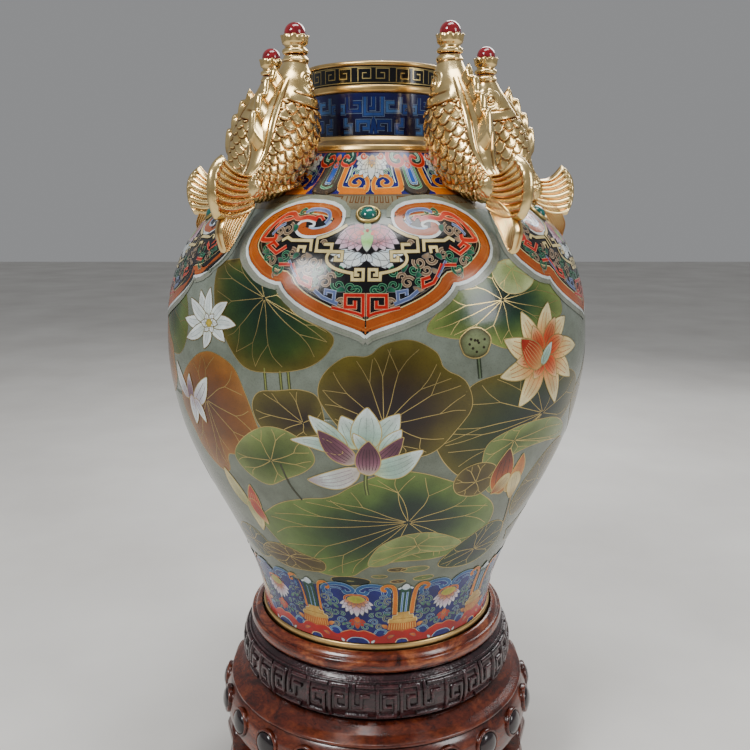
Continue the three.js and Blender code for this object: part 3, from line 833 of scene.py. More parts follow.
FRONT_LEAVES = [
    # outline, hub, colours from the hub to the rim, layer, veins, how far the colours wander
    ([(-44, 334), (-38, 341), (-30, 341), (-23, 325), (-19, 306), (-10, 292), (-11, 278), (-16, 267),
      (-25, 262), (-32, 265), (-38, 286), (-42, 306)],
     (-26.8, 315), (PINE, (40, 70, 50), MOSS, (124, 112, 54)), 1, 11, 0.16),
    ([(11, 295), (15, 311), (19, 326), (26, 337), (34, 337), (42, 330), (50, 318), (52, 300), (46, 292),
      (38, 284), (31, 278), (24, 286), (17, 288)],
     (30.4, 313), (PINE, (44, 76, 58), SAGE, (150, 162, 100)), 1, 11, 0.16),
    ([(30, 323), (33, 317), (38, 318), (42, 326), (40, 338), (34, 341), (29, 335)],
     (35, 334), ((150, 170, 110), PALE_SAGE, (190, 200, 150), (200, 208, 160)), 2, 5, 0.16),
    ([(-51, 262), (-46, 270), (-41, 271), (-35, 263), (-32, 246), (-30, 227), (-29, 208), (-33, 196),
      (-38, 191), (-42, 188), (-44, 173), (-49, 172), (-55, 186), (-57, 199), (-61, 222), (-57, 246)],
     (-46, 232), AMBER_LEAF, 2, 9, 0.16),
    ([(-30, 234), (-28, 246), (-23, 249), (-17, 251), (-13, 245), (-12, 221), (-16, 216), (-22, 212),
      (-28, 218)],
     (-17, 226), (PLUM, (84, 70, 34), OLIVE, OLIVE_RIM), 2, 6, 0.16),
    ([(14, 207), (13, 221), (18, 238), (22, 254), (30, 260), (38, 262), (47, 256), (58, 250), (63, 236),
      (60, 216), (50, 204), (40, 206), (32, 200), (28, 184), (22, 180), (17, 192)],
     (45, 222), ((28, 42, 38), (52, 70, 50), (86, 92, 46), OLIVE_RIM), 2, 12, 0.16),
    ([(-13, 247), (-11.8, 263), (-7, 276), (-2, 277), (1.5, 285), (7.5, 288), (13, 279), (15, 267),
      (20, 257), (22, 238), (19, 222), (14, 205), (8, 200), (0, 204), (-6, 216), (-10, 230)],
     (1.5, 227), OLIVE_LEAF, 3, 12, 0.1),
    ([(-39, 190), (-35, 206), (-28, 219), (-22, 219), (-17, 210), (-15, 197), (-18, 186), (-24, 177),
      (-30, 169), (-36, 176)],
     (-27, 192), (MOSS, (104, 122, 66), (128, 142, 84), (152, 164, 106)), 4, 7, 0.16),
    ([(-39, 128), (-34, 142), (-27, 154), (-19, 161), (-12, 165), (-5, 178), (2, 187), (9, 188),
      (17, 180), (24, 170), (31, 158), (37, 143), (38, 124), (33, 108), (22, 100), (8, 100), (-2, 96),
      (-9, 84), (-20, 83), (-29, 92), (-35, 108)],
     (9, 141), (PINE, (44, 70, 52), (110, 134, 72), (140, 158, 92)), 4, 15, 0.1),
    ([(-3, 97), (0, 114), (5, 124), (11, 129), (19, 127), (29, 113), (24, 107), (15, 108), (8, 104),
      (2, 96)],
     (13, 116), ((120, 138, 84), (140, 156, 98), (154, 168, 110), (164, 176, 120)), 6, 7, 0.16),
    ([(-47, 92), (-42, 103), (-34, 106), (-26, 101), (-19, 96), (-20, 86), (-28, 83), (-38, 83)],
     (-33, 95), ((86, 66, 40), (104, 84, 50), (112, 98, 56), (124, 112, 66)), 6, 8, 0.16),
    ([(-62, 96), (-56, 112), (-48, 114), (-42, 102), (-44, 88), (-52, 83)],
     (-52, 98), DEEP_LEAF, 5, 7, 0.16),
    ([(23, 90), (26, 104), (33, 118), (40, 126), (47, 120), (50, 104), (46, 90), (36, 84)],
     (37, 100), DEEP_LEAF, 6, 8, 0.16),
    ([(27, 192), (28, 206), (34, 214), (42, 217), (52, 214), (60, 202), (60, 192), (50, 195), (42, 195),
      (36, 190), (34, 178), (33, 160), (29, 172)],
     (36, 204), ((92, 112, 60), (118, 134, 78), (138, 152, 96), (150, 164, 108)), 4, 9, 0.16),
    ([(20, 175), (22, 186), (27, 190), (32, 184), (32, 168), (28, 160), (22, 164)],
     (26.6, 173), ((96, 84, 44), (110, 96, 52), (122, 108, 60), (132, 120, 70)), 5, 6, 0.16),
    ([(47, 160), (51, 178), (58, 190), (64, 186), (64, 160), (58, 132), (51, 124), (46, 140)],
     (56, 156), (MOSS, (92, 88, 44), OLIVE, OLIVE_RIM), 4, 7, 0.16),
    ([(-75, 330), (-68, 338), (-60, 322), (-54, 300), (-54, 276), (-60, 262), (-72, 268), (-80, 290),
      (-80, 316)],
     (-66, 300), GREEN_LEAF, 1, 9, 0.16),
]
FRONT_STEMS = [
    # path, width, colour, layer
    ([(-26, 265), (-25.7, 246)], 2.6, STEM_GREEN, 0.7),
    ([(-22, 264), (-21.7, 250)], 2.6, STEM_GREEN, 0.7),
    ([(-20, 264), (-19.7, 250)], 2.6, STEM_GREEN, 0.7),
    ([(-24.5, 190), (-23, 172), (-20.6, 159)], 1.6, (60, 60, 40), 5),
]
SMALL_PADS = [
    # azimuth, height, half width in mm and colour of the little pads under the front leaves
    (-10, 78, 13, (46, 58, 44)), (7.4, 91, 6, (104, 88, 50)), (1, 84, 5, (132, 142, 104)),
    (8, 78, 5, (116, 92, 66)), (18, 79.5, 7, (120, 138, 84)), (14, 90, 9, (140, 150, 108)),
]
# petal colours from base to tip
MINT_PETAL = [(196, 206, 170), MINT, (206, 222, 214), WHITE]
MAUVE_PETAL = [(206, 196, 180), (150, 108, 122), MAUVE, (112, 74, 92)]
PALE_PETAL = [(200, 190, 180), (216, 214, 210), (214, 224, 220), (196, 176, 186)]
WHITE_PETAL = [(206, 214, 190), (220, 228, 226), WHITE, WHITE]
CREAM_PETAL = [(196, 92, 52), (222, 176, 120), (232, 216, 168), (236, 226, 188)]
FLUSHED_PETAL = [(206, 120, 70), (204, 96, 54), (216, 150, 104), (232, 210, 170)]
ROSE_PETAL = [(222, 190, 130), (206, 130, 84), (182, 74, 46), (170, 60, 42)]
LILAC_PETAL = [(196, 180, 190), (206, 206, 214), WHITE, WHITE]
YELLOW_PETAL = [(160, 160, 100), (206, 200, 150), CREAM]
AMBER_PETAL = [(206, 150, 84), (192, 112, 46), (150, 76, 34), (120, 62, 32)]
PINK_PETAL = [(226, 214, 190), (214, 160, 160), (206, 130, 140), (222, 176, 176)]
# their ribs
GREY_RIB = (168, 184, 176)
PLUM_RIB = (92, 60, 76)
LILAC_RIB = (130, 90, 110)
# base, tip, width, colours, layer, bend, ribs, rib colour
MAIN_LOTUS_BACK = [
    ((-4, 208), (-8, 233), 17, MINT_PETAL, 7, 0, 3, GREY_RIB),
    ((-1, 208), (5, 235), 17, MINT_PETAL, 7.5, 0, 3, GREY_RIB),
    ((-7, 206), (-15.5, 232), 13, MINT_PETAL, 8, 0, 3, GREY_RIB),
    ((-2.6, 206), (-2.2, 240), 20, MINT_PETAL, 8.5, 0, 3, GREY_RIB),
    ((1, 202), (5.5, 223), 12, MINT_PETAL, 9, 0, 3, GREY_RIB),
]
MAIN_LOTUS = [
    ((-8, 204), (-20.5, 212), 9, MINT_PETAL, 9.6, -3, 2, None),
    ((-5, 196), (-13.6, 221), 15, MAUVE_PETAL, 10, 2, 5, PLUM_RIB),
    ((-1.5, 192), (6.0, 217), 12, MAUVE_PETAL, 10, -2, 4, PLUM_RIB),
    ((-4, 190), (-17.5, 179), 15, PALE_PETAL, 10.6, 4, 4, (180, 160, 172)),
    ((-1.5, 190), (10.8, 206), 17, MINT_PETAL, 11, -5, 4, GREY_RIB),
    ((-2.2, 186), (-2.0, 214), 17, MAUVE_PETAL, 11.6, 0, 6, PLUM_RIB),
    ((-2.0, 204), (-5.4, 220), 8, MINT_PETAL, 9.8, 0, 1, None),
]
LEFT_BUDS = [
    ((-55.5, 228), (-61, 256), 12, LILAC_PETAL, 8, 2, 2, LILAC_RIB),
    ((-52, 226), (-44.5, 251), 13, LILAC_PETAL, 8.5, -2, 2, LILAC_RIB),
    ((-54, 224), (-53, 250), 10, (MAUVE, (150, 120, 140), WHITE), 9, 0, 3, (110, 76, 96)),
    ((-53, 232), (-54, 207), 12, LILAC_PETAL, 9.5, 1, 2, LILAC_RIB),
    ((-52, 230), (-48, 212), 9, LILAC_PETAL, 10, 1, 2, LILAC_RIB),
    ((-42, 140), (-46.5, 174), 13, YELLOW_PETAL, 8, 2, 2, None),
    ((-41, 130), (-37.5, 164), 12, [(206, 110, 70), (184, 66, 40), (196, 86, 54)], 8.6, -2, 4,
     (226, 170, 120)),
    ((-41, 146), (-41, 117), 12, YELLOW_PETAL, 9, 2, 2, None),
    ((-39.5, 150), (-36.5, 126), 10, [(206, 110, 70), (190, 70, 44), CREAM], 9.4, -1, 3, None),
]
RIGHT_BUD = [
    ((37, 156), (35, 198), 20, AMBER_PETAL, 8, 3, 3, (90, 50, 30)),
    ((39.5, 156), (41, 190), 14, [(216, 190, 130), (206, 146, 76), (190, 120, 56)], 8.6, -3, 2, None),
    ((38, 174), (33.5, 158), 11, [CREAM, (214, 190, 140), (170, 100, 56)], 9.2, 1, 2, None),
    ((40, 174), (43, 148), 13, [CREAM, (226, 212, 168), (200, 170, 110)], 9.6, 1, 2, None),
]
# azimuth, height and width of each petal's tip, from the flower's middle
WHITE_LOTUS_TIPS = [(-5.4, 23), (-1.5, 26), (-9.5, 16), (5.8, 17), (-11.4, 0), (9.3, 1), (-10, -15),
                    (-1.6, -20), (6, -12)]
WARM_OUTER_TIPS = [(3.2, 38, 17), (-7, 33, 15), (-12.5, 14, 16), (-13.5, -13, 15), (-7, -38, 18),
                   (7.5, -42, 16), (14, -24, 15), (16.5, 0, 15), (10.5, 25, 16)]
WARM_INNER_TIPS = [(5.5, 26), (-3.5, 22), (9, 10), (-3, -18), (6, -20), (-9, -3)]


def add_petals(art, rows, seed):
    for number, (base, tip, width, colours, layer, bend, ribs, rib_colour) in enumerate(rows):
        add_petal(art, base, tip, width, colours, layer, bend, ribs, rib_colour, seed + number)


def radiating(centre, across, up, share):
    """The base and tip of a petal that starts a share of its length from the flower's middle."""
    azimuth, height = centre
    return (azimuth + across * share, height + up * share), (azimuth + across, height + up)


def paint_main_lotus(art):
    """The large front lotus: mint and white petals with ribbed mauve ones between."""
    add_stem(art, [(-2.6, 190), (-2.8, 178), (-2.4, 168)], 3, (96, 104, 60), 5)
    add_petals(art, MAIN_LOTUS_BACK, 30)
    add_petals(art, MAIN_LOTUS, 36)


def paint_white_lotus(art, centre, layer):
    """A crisp white lotus with many narrow petals."""
    azimuth, height = centre
    for k, (across, up) in enumerate(WHITE_LOTUS_TIPS):
        base, tip = radiating(centre, across, up, 0.08)
        add_petal(art, base, tip, 9.5, WHITE_PETAL, layer + 0.45 * (k % 4), 1.2, 2, (186, 198, 200), 50 + k)
    for k, tip in enumerate(oval(centre, 3.2, 8, 6)):
        add_petal(art, centre, tip, 5.5, WHITE_PETAL, layer + 2.2, 0.6, 1, (176, 190, 196), 60 + k)
    heart = [(0, (214, 190, 90)), (1, (172, 160, 80))]
    art.patch(oval(centre, 1.2, 3, 8, 5.4), centre, heart, layer + 3, 70, 3, 24)


def paint_warm_lotus(art, centre):
    """A cream lotus flushed orange-red, its heart open."""
    azimuth, height = centre
    for k, (across, up, width) in enumerate(WARM_OUTER_TIPS):
        base, tip = radiating(centre, across, up, 0.1)
        add_petal(art, base, tip, width, CREAM_PETAL, 7 + 0.45 * (k % 4), 2, 3, (206, 120, 76), 80 + k)
    for k, (across, up) in enumerate(WARM_INNER_TIPS):
        base, tip = radiating(centre, across, up, 0.1)
        add_petal(art, base, tip, 12, FLUSHED_PETAL, 9 + 0.4 * (k % 3), 1, 3, (176, 60, 40), 95 + k)
    heart = (azimuth - 0.5, height - 9)
    add_petal(art, heart, (azimuth - 7.5, height + 13), 17, ROSE_PETAL, 10.6, 0, 6, (226, 180, 130), 103)
    heart = (azimuth - 0.5, height - 8)
    add_petal(art, heart, (azimuth + 3.5, height + 8), 8, (MINT, MINT, WHITE), 10.8, 0, 2, None, 104)


def paint_buds(art):
    """The half-open flowers at both sides."""
    add_petals(art, LEFT_BUDS, 110)
    add_stem(art, [(43, 152), (46, 132), (49.5, 108)], 3.4, (110, 96, 60), 6)
    add_petals(art, RIGHT_BUD, 119)


def paint_front_scene(art):
    """The pond as it is seen from the front."""
    for path, width, colour, layer in FRONT_STEMS:
        add_stem(art, path, width, colour, layer)
    for number, (outline, hub, colours, layer, veins, ripple) in enumerate(FRONT_LEAVES):
        add_leaf(art, outline, hub, colours, layer, veins, 3 + number, ripple)
    paint_seed_pod(art, (22.4, 284), 5)
    for azimuth, height, wide, colour in SMALL_PADS:
        loop = oval((azimuth, height), wide / 1.7, wide * 0.36, 12)
        art.patch(loop, (azimuth, height), [(0, SAGE), (0.3, colour), (1, colour)], 1, 20, 4, 40)
        art.wire(loop, 0.5, 1.5, True, True)
        art.line([(azimuth - wide * 0.1, height), (azimuth + wide * 0.1, height)], 0.5, GOLD_LINE, 1.6)
    paint_main_lotus(art)
    paint_white_lotus(art, (-43.5, 293), 7)
    paint_warm_lotus(art, (42.5, 270))
    paint_buds(art)


def paint_seed_pod(art, centre, layer):
    """A round lotus pod on a stem, with seed holes."""
    azimuth, height = centre
    add_stem(art, [(azimuth + 0.6, height - 9), (azimuth + 1.2, height - 26)], 3.4, (70, 80, 62), layer)
    loop = [(azimuth + 3.9 * math.cos(a) * (1 + 0.05 * math.sin(5 * a)), height + 11 * math.sin(a))
            for a in np.linspace(0, math.tau, 16, endpoint=False)]
    rind = [(0, (160, 168, 130)), (0.75, (140, 150, 116)), (1, (92, 84, 56))]
    art.patch(loop, centre, rind, layer + 1, 21, 6, 60)
    art.wire(loop, 0.9, layer + 1.6, True, True)
    for k in range(9):
        angle = k * 2.4
        reach = 0.25 + 0.55 * (k % 3) / 2
        seed = (azimuth + 3 * reach * math.cos(angle), height + 8 * reach * math.sin(angle))
        art.patch(oval(seed, 0.34, 1.0, 7, 5.3), seed, [(0, (60, 56, 40)), (1, (84, 80, 54))], layer + 2,
                  22, 3, 14)


FAR_LEAVES = [
    # hub, half width in degrees, half height in mm, colours, layer
    ((84, 226), 24, 46, OLIVE_LEAF, 3), ((112, 306), 23, 36, GREEN_LEAF, 1),
    ((74, 318), 12, 24, GREEN_LEAF, 1), ((128, 146), 26, 34, PALE_LEAF, 4),
    ((96, 142), 18, 26, GREEN_LEAF, 3), ((152, 238), 24, 42, AMBER_LEAF, 2),
    ((180, 306), 22, 34, GREEN_LEAF, 1), ((176, 172), 26, 40, GREEN_LEAF, 3),
    ((204, 236), 18, 34, OLIVE_LEAF, 4), ((222, 142), 24, 34, PALE_LEAF, 4),
    ((232, 304), 23, 36, GREEN_LEAF, 1), ((250, 214), 24, 44, OLIVE_LEAF, 3),
    ((272, 150), 20, 30, DEEP_LEAF, 4), ((282, 262), 17, 34, AMBER_LEAF, 2),
    ((156, 108), 22, 18, DEEP_LEAF, 5), ((200, 104), 20, 17, PALE_LEAF, 5),
    ((76, 108), 20, 18, DEEP_LEAF, 5), ((250, 104), 22, 18, PALE_LEAF, 5),
]
FAR_STEMS = [(112, 272, 240), (118, 272, 236), (180, 274, 214), (232, 270, 250), (150, 196, 168)]
FAR_LOTUSES = [
    # middle, size, colours, petals, turn
    ((104, 214), 36, PINK_PETAL, 10, 10), ((136, 268), 28, WHITE_PETAL, 11, 40),
    ((166, 226), 40, CREAM_PETAL, 10, 25), ((196, 282), 26, WHITE_PETAL, 10, 5),
    ((228, 206), 38, PINK_PETAL, 10, 30), ((262, 280), 27, WHITE_PETAL, 11, 15),
    ((144, 178), 22, CREAM_PETAL, 8, 15), ((268, 182), 26, CREAM_PETAL, 9, 0),
]


def paint_far_scene(art):
    """The rest of the pond, in the same manner, so that the picture runs all the way round."""
    for number, (hub, wide, tall, colours, layer) in enumerate(FAR_LEAVES):
        rng = random.Random(200 + number)
        turns = np.linspace(0, math.tau, 15, endpoint=False)
        reach = [rng.uniform(0.82, 1.08) for _ in turns]
        outline = [(hub[0] + wide * r * math.cos(a), max(84, hub[1] - 6 + tall * r * math.sin(a)))
                   for a, r in zip(turns, reach)]
        add_leaf(art, outline, hub, colours, layer, 11, 200 + number)
    for azimuth, top, foot in FAR_STEMS:
        path = [(azimuth, top), (azimuth + 1, (top + foot) / 2), (azimuth + 0.4, foot)]
        add_stem(art, path, 3, (84, 92, 52), 0.7)
    for number, (centre, size, colours, petals, turn) in enumerate(FAR_LOTUSES):
        add_lotus(art, centre, size, 7, colours, petals, turn, 301 + number)
    for azimuth, height in ((88, 284), (212, 268), (246, 262)):
        paint_seed_pod(art, (azimuth, height), 5)


def build_scene():
    for name, paint in (("pond_front", paint_front_scene), ("pond_back", paint_far_scene)):
        art = Painter()
        paint(art)
        art.build(name)




# ---------------------------------------------------------------- lappets

EDGE_WIDTH = 0.45            # how far an edged stroke's edge shows on each side, mm
PETAL_OUTLINE = (120, 118, 120)


def mirrored(shape):
    return [(-x, z) for x, z in shape]


def plain(colour):
    """The stops of a fill that has one colour."""
    return [(0, colour), (1, colour)]


class Motif:
    """Draws in mm across and height about one azimuth, on both sides of it when asked."""

    def __init__(self, art, azimuth, scale, base_layer=0):
        self.art = art
        self.azimuth = azimuth
        self.scale = scale
        self.base = base_layer

    def placed(self, shape):
        shape = np.asarray(shape, float)
        return np.stack([self.azimuth + shape[:, 0] / self.scale, shape[:, 1]], 1)

    def line(self, shape, width, colour, layer, smooth=True, both=True, taper=0.0):
        for side in [shape, mirrored(shape)] if both else [shape]:
            self.art.line(self.placed(side), width, colour, self.base + layer, smooth, False, taper)

    def edged(self, shape, width, colour, edge, layer, smooth=True, both=True, taper=0.0):
        """A coloured stroke with a thin line of another colour along both sides."""
        self.line(shape, width + 2 * EDGE_WIDTH, edge, layer, smooth, both, taper)
        self.line(shape, width, colour, layer + 0.35, smooth, both, taper)

    def fill(self, outline, hub, stops, layer, smooth=True):
        """A filled shape on both sides, coloured from its hub to its rim."""
        for shape, middle in ((outline, hub), (mirrored(outline), (-hub[0], hub[1]))):
            middle = self.placed([middle])[0]
            self.art.patch(self.placed(shape), middle, stops, self.base + layer, 1, 6, 64, smooth, 0.0)

    def petal(self, base, tip, width, colours, layer, bend=0.0, both=True):
        """A small petal coloured from base to tip, with a thin grey outline."""
        pairs = [(base, tip, bend)]
        if both:
            pairs.append(((-base[0], base[1]), (-tip[0], tip[1]), -bend))
        for start, end, curve in pairs:
            start, end = self.placed([start, end])
            left, right = petal_sides(self.art.place, start, end, width, curve, 9)
            grid, tints, _ = petal_grid(left, right, colours, 4)
            points = self.art.place(grid[..., 0], grid[..., 1], (self.base + layer) * LAYER)
            self.art.enamel.add(points, tints)
            rim = np.concatenate([left, right[::-1]])
            self.art.line(rim, 0.4, PETAL_OUTLINE, self.base + layer + 0.2, False, True)


LAPPET_EDGE = [(18, 371), (19, 375), (23.3, 378.6), (30, 381), (39, 382.4), (53, 383), (64, 381.4),
               (73, 378.4),
               (80, 373.6), (84.3, 368.2), (87, 361), (87.4, 355), (86.6, 349), (83.8, 343.6), (80, 339),
               (75, 334.7), (69, 330), (62.8, 327), (57, 325.4), (54.2, 325.4)]
LAPPET_POINT = [(54.2, 325.4), (52, 321.6), (48.4, 317.5), (43, 312.8), (36.7, 308.6), (29, 304.4),
                (21.7, 300.8),
                (14, 297.6), (7.6, 295), (3, 292.8), (0, 290)]
CURL_BAND = [(22, 371.5), (22.4, 368), (25.4, 364.4), (31, 361.8), (38, 360.6), (45, 361), (49, 363.2),
             (49.2, 365.8),
             (46, 367.2)]
CURL_OUTER = [(18.2, 372), (18.6, 367.4), (22, 362.6), (29, 359.2), (37, 357.6), (45, 357.9), (50.5, 360.6),
              (52.4, 364.4), (50, 368), (44.6, 368.9), (40, 367.4), (39.6, 365.2), (42.6, 364.2)]
CURL_INNER = [(42.6, 364.2), (39.5, 363.4), (34.6, 363.8), (30, 365.4), (27, 368.4)]
FRAME_CURVE = [(23.8, 347.8), (25.4, 344), (24.2, 340), (20.5, 337), (15.7, 335), (11, 333.8)]
FRET_FRAME = [(14.7, 365.8), (20.7, 361.8), (27, 358.6), (33.6, 356.6), (33, 348), (23, 348), (23, 352.6),
              (28.4, 352.6)]
FRET_INNER = [(33, 348), (15.6, 347.6), (15.6, 342), (19.6, 342), (19.6, 345)]
FRET_LOWER = [(11, 333.8), (8.6, 333.4), (8.4, 329), (1.8, 329), (1.8, 335.8), (6.4, 335.8), (6.4, 332.2),
              (4.2, 332.2)]
FRET_WING = [(36.8, 347.8), (37.6, 355), (52, 355), (56, 357), (59.5, 354.6)]
FRET_WING_INNER = [(45.6, 347.2), (45.6, 350.6), (41.4, 350.6), (41.4, 346.6)]


SPINE = ([0, 0.3, 0.6, 1], [18, 42, 40, 0], [368, 360, 344, 312])   # share of the edge, across, height


def build_lappet(art, azimuth):
    """One cloud-shaped collar panel: curled shoulders, squared frets and a lotus on black."""
    panel = Motif(art, azimuth, LAPPET_SCALE, LAPPET_BASE)
    edge = LAPPET_EDGE + LAPPET_POINT[1:]
    inset = [(x * 0.985, z) for x, z in edge]
    for side in (1, -1):
        outline = panel.placed([(side * x, z) for x, z in inset])
        share = np.linspace(0, 1, len(inset))
        spine = np.stack([side * np.interp(share, SPINE[0], SPINE[1]),
                          np.interp(share, SPINE[0], SPINE[2])], 1)
        outline = dense_path(outline, 2.5, on_jar, False, False)
        art.between(outline, spline(panel.placed(spine), len(outline)), [BLACK, BLACK], panel.base, 12)
    heart = [(0, 367), (10, 367), (20, 364), (30, 362), (42, 360), (42, 344), (30, 332), (16, 318), (0, 309)]
    panel.fill(heart, (14, 344), plain(BLACK), 0.2, False)
    panel.line(edge, 9, (150, 156, 142), -0.6, False)
    grey = [(x * 1.03 + 1.2, z - 1.5) for x, z in LAPPET_EDGE[10:]] + [(x, z - 3.2) for x, z in LAPPET_POINT]
    panel.line(grey, 5, (158, 160, 150), -0.8, False)
    band = offset_inwards(edge, 5.0)
    panel.line(band, 7.6, TAWNY, 1, False)
    panel.line(offset_inwards(edge, 3.2), 1.0, (192, 118, 56), 1.3, False)
    panel.line(offset_inwards(edge, 9.2), 0.8, CREAM, 1.6, False)
    panel.line(offset_inwards(edge, 10.2), 1.0, BLACK, 1.9, False)
    panel.line(offset_inwards(edge, 11.4), 0.6, (120, 112, 96), 1.9, False)
    panel.line(CURL_BAND, 7.0, TAWNY, 2.2, taper=0.25)
    panel.line(CURL_OUTER, 1.9, WHITE, 2.8)
    panel.line(CURL_INNER, 1.3, (170, 190, 214), 2.8)
    panel.line(edge, 2.3, WHITE, 3.0, False)
    draw_lappet_lotus(panel)
    for fret in LAPPET_FRETS:
        panel.edged(*fret)
    draw_lappet_scrolls(panel)


def offset_inwards(shape, distance):
    """The half outline moved in towards the middle of the panel."""
    shape = np.asarray(spline(shape, len(shape) * 3), float)
    slope = np.gradient(shape, axis=0)
    slope = slope / (np.linalg.norm(slope, axis=1, keepdims=True) + 1e-9)
    moved = shape + distance * np.stack([slope[:, 1], -slope[:, 0]], 1)
    moved[:, 0] = np.maximum(moved[:, 0], 0)
    keep = [moved[0]]
    for point in moved[1:]:
        if np.linalg.norm(point - keep[-1]) > 1.5:
            keep.append(point)
    return np.array(keep)


def draw_lappet_lotus(panel):
    pink = [(206, 84, 40), (196, 120, 122), (206, 168, 184), (226, 214, 226)]
    for tip, width in (((20, 357), 9), ((21.5, 353), 8), ((18, 349.5), 8), ((12, 348.5), 8), ((6, 348), 7)):
        panel.petal((2, 361), tip, width, pink, 4.2 + tip[0] / 30, 1.5)
    for tip, width in (((15.5, 362), 7), ((9, 366.5), 7), ((12, 357), 8), ((6.5, 353), 7)):
        panel.petal((1, 360), tip, width, [(196, 70, 40), (204, 132, 134), (184, 142, 166)], 5.2, -0.8)
    panel.petal((0, 364), (0, 347.5), 8, [(120, 170, 90), (150, 206, 110), WHITE], 6, 0, False)
    panel.petal((0, 362), (0, 369), 5, [(150, 170, 130), (176, 196, 160)], 6.2, 0, False)
    for start in ((0, 362), (3.4, 360)):
        panel.fill(oval(start, 1.2, 1.2, 6, 5), start, plain((216, 84, 40)), 6.6)
    for tip, width in (((24, 346), 6), ((23, 341.5), 7), ((17, 336.6), 7), ((12, 336.5), 6)):
        panel.petal((5, 345), tip, width, [WHITE, (214, 228, 234), WHITE], 4.2, 1)
    for tip, width in (((20, 345.4), 5), ((9, 338), 6), ((14, 340), 8)):
        panel.petal((3, 346), tip, width, [(206, 222, 232), WHITE, WHITE], 4.8, -1)
    panel.petal((0, 346), (3.4, 340.6), 4, [WHITE, (206, 216, 226)], 5)


LAPPET_FRETS = [
    # shape, width, colour, edge, layer, whether the corners are rounded
    (FRET_FRAME, 2.0, CREAM, BRONZE, 7, False),
    (FRET_INNER, 2.0, CREAM, BRONZE, 7, False),
    (FRET_LOWER, 2.0, CREAM, BRONZE, 7, False),
    (FRET_WING, 2.0, CREAM, BRONZE, 7, False),
    (FRET_WING_INNER, 2.0, CREAM, BRONZE, 7, False),
    (FRAME_CURVE, 2.0, CREAM, BRONZE, 7, True),
    ([(37.6, 355), (46, 355)], 2.0, CREAM, BRONZE, 7, False),
    ([(1.5, 304.4), (1.5, 318.6), (12, 318.6), (12, 310.6), (6.2, 310.6), (6.2, 315)], 2.1, RED, DUSKY, 6,
     False),
    ([(1.5, 304.4), (6, 306.6), (20, 310.2)], 1.8, RED, DUSKY, 6, True),
    ([(38, 369.4), (46, 371), (54, 370), (60, 373.4), (66.5, 372), (72, 366), (75, 358.6), (75.6, 355),
      (66, 355.4), (66, 359)], 2.6, (196, 56, 36), CORAL, 6, True),
    ([(56, 371.5), (61, 369.5), (66, 368), (69, 362)], 1.8, (200, 66, 44), CORAL, 6, True),
    ([(54.6, 350.8), (61, 346), (69, 351), (65.4, 353.4), (61.4, 350.6)], 1.9, RED, CORAL, 6, False),
    ([(47.6, 339.4), (44, 332), (40.8, 326.8), (34, 323.8), (34, 329), (39, 330.6)], 1.9, RED, CORAL, 6,
     False),
    ([(48.6, 338.6), (57, 338.4)], 1.7, RED, CORAL, 6, False),
    ([(16.5, 312.6), (26, 317), (31, 321.6)], 1.9, GREY_BLUE, PALE_BLUE, 6, False),
    ([(19, 314), (18.6, 320.6), (24, 321.6), (24, 318.4)], 1.7, GREY_BLUE, PALE_BLUE, 6, False),
    ([(50.4, 341.4), (47, 336), (43.6, 330.4)], 1.2, GREY_BLUE, PALE_BLUE, 6, False),
    ([(31, 366.6), (29, 370.4), (31, 374.4), (37, 376.2), (45, 376.4), (50, 374.4)],
     1.8, (112, 128, 176), PALE_BLUE, 6, True),
    ([(33, 369), (36, 371.6), (40, 371)], 1.5, RED, CORAL, 6, True),
    ([(62, 366.4), (66.4, 363.6), (69.4, 358.6)], 1.2, GREY_BLUE, PALE_BLUE, 6.6, True),
]


def draw_lappet_scrolls(panel):
    """Green and taupe leaf scrolls that fill the black ground."""
    greens = [((9, 323.6), 4.4, 1.2, 200), ((16.6, 325.4), 4.0, -1.2, 20), ((17, 334), 3.4, 1.1, 90),
              ((58, 335.6), 4.2, 1.2, 140), ((54, 344.6), 4.0, -1.2, 300), ((70, 349.8), 3.6, 1.1, 60),
              ((46, 374.6), 2.4, 1.0, 0), ((52.6, 374.4), 2.6, -1.0, 160), ((31.6, 327), 3.6, 1.2, 250),
              ((29, 335.6), 3.8, -1.2, 60), ((66.6, 342.4), 3.4, -1.1, 200), ((5, 321.6), 2.8, 1.0, 40)]
    taupes = [((25, 327), 4.2, 1.2, 30), ((33, 340.4), 4.2, 1.3, 150), ((40.6, 342.8), 3.8, -1.2, 350),
              ((37, 335.4), 3.6, 1.1, 210), ((58.4, 362.4), 4.4, 1.3, 100), ((64.6, 361.4), 3.2, -1.1, 260),
              ((62.8, 340.6), 3.4, 1.2, 20), ((14.6, 313.2), 3.2, -1.2, 120), ((28.4, 353.4), 2.0, 1.0, 0),
              ((49.6, 346), 3.6, 1.2, 80), ((22, 331), 3.0, -1.0, 200), ((57.6, 331.8), 2.6, 1.0, 300)]
    for scrolls, width, colour, edge in ((greens, 1.5, TEAL, (120, 176, 140)),
                                         (taupes, 1.4, TAUPE, (196, 178, 154))):
        for centre, radius, turns, start in scrolls:
            panel.edged(spiral(centre, radius, turns, start), width, colour, edge, 5, taper=0.4)
    for base, tip in (((12, 322), (18, 321)), ((22, 334), (26, 339)), ((55, 338), (59, 343)),
                      ((30, 331), (34, 332)),
                      ((66, 346), (72, 346)), ((44, 346), (48, 342)), ((52, 361), (55, 366))):
        panel.petal(base, tip, 3.4, [TEAL, (70, 140, 110)], 5.6, 1)
    for base, tip in (((28, 324), (35, 322)), ((35, 344), (40, 347)), ((60, 356), (65, 357)),
                      ((40, 336), (45, 335))):
        panel.petal(base, tip, 3.2, [TAUPE, (176, 156, 130)], 5.6, -1)


def build_lappets():
    for k in range(LAPPETS):
        art = Painter()
        build_lappet(art, DECOR_TURN + 360 / LAPPETS * k)
        art.build(f"lappet_{k + 1}")


# ---------------------------------------------------------------- the band on the shoulder

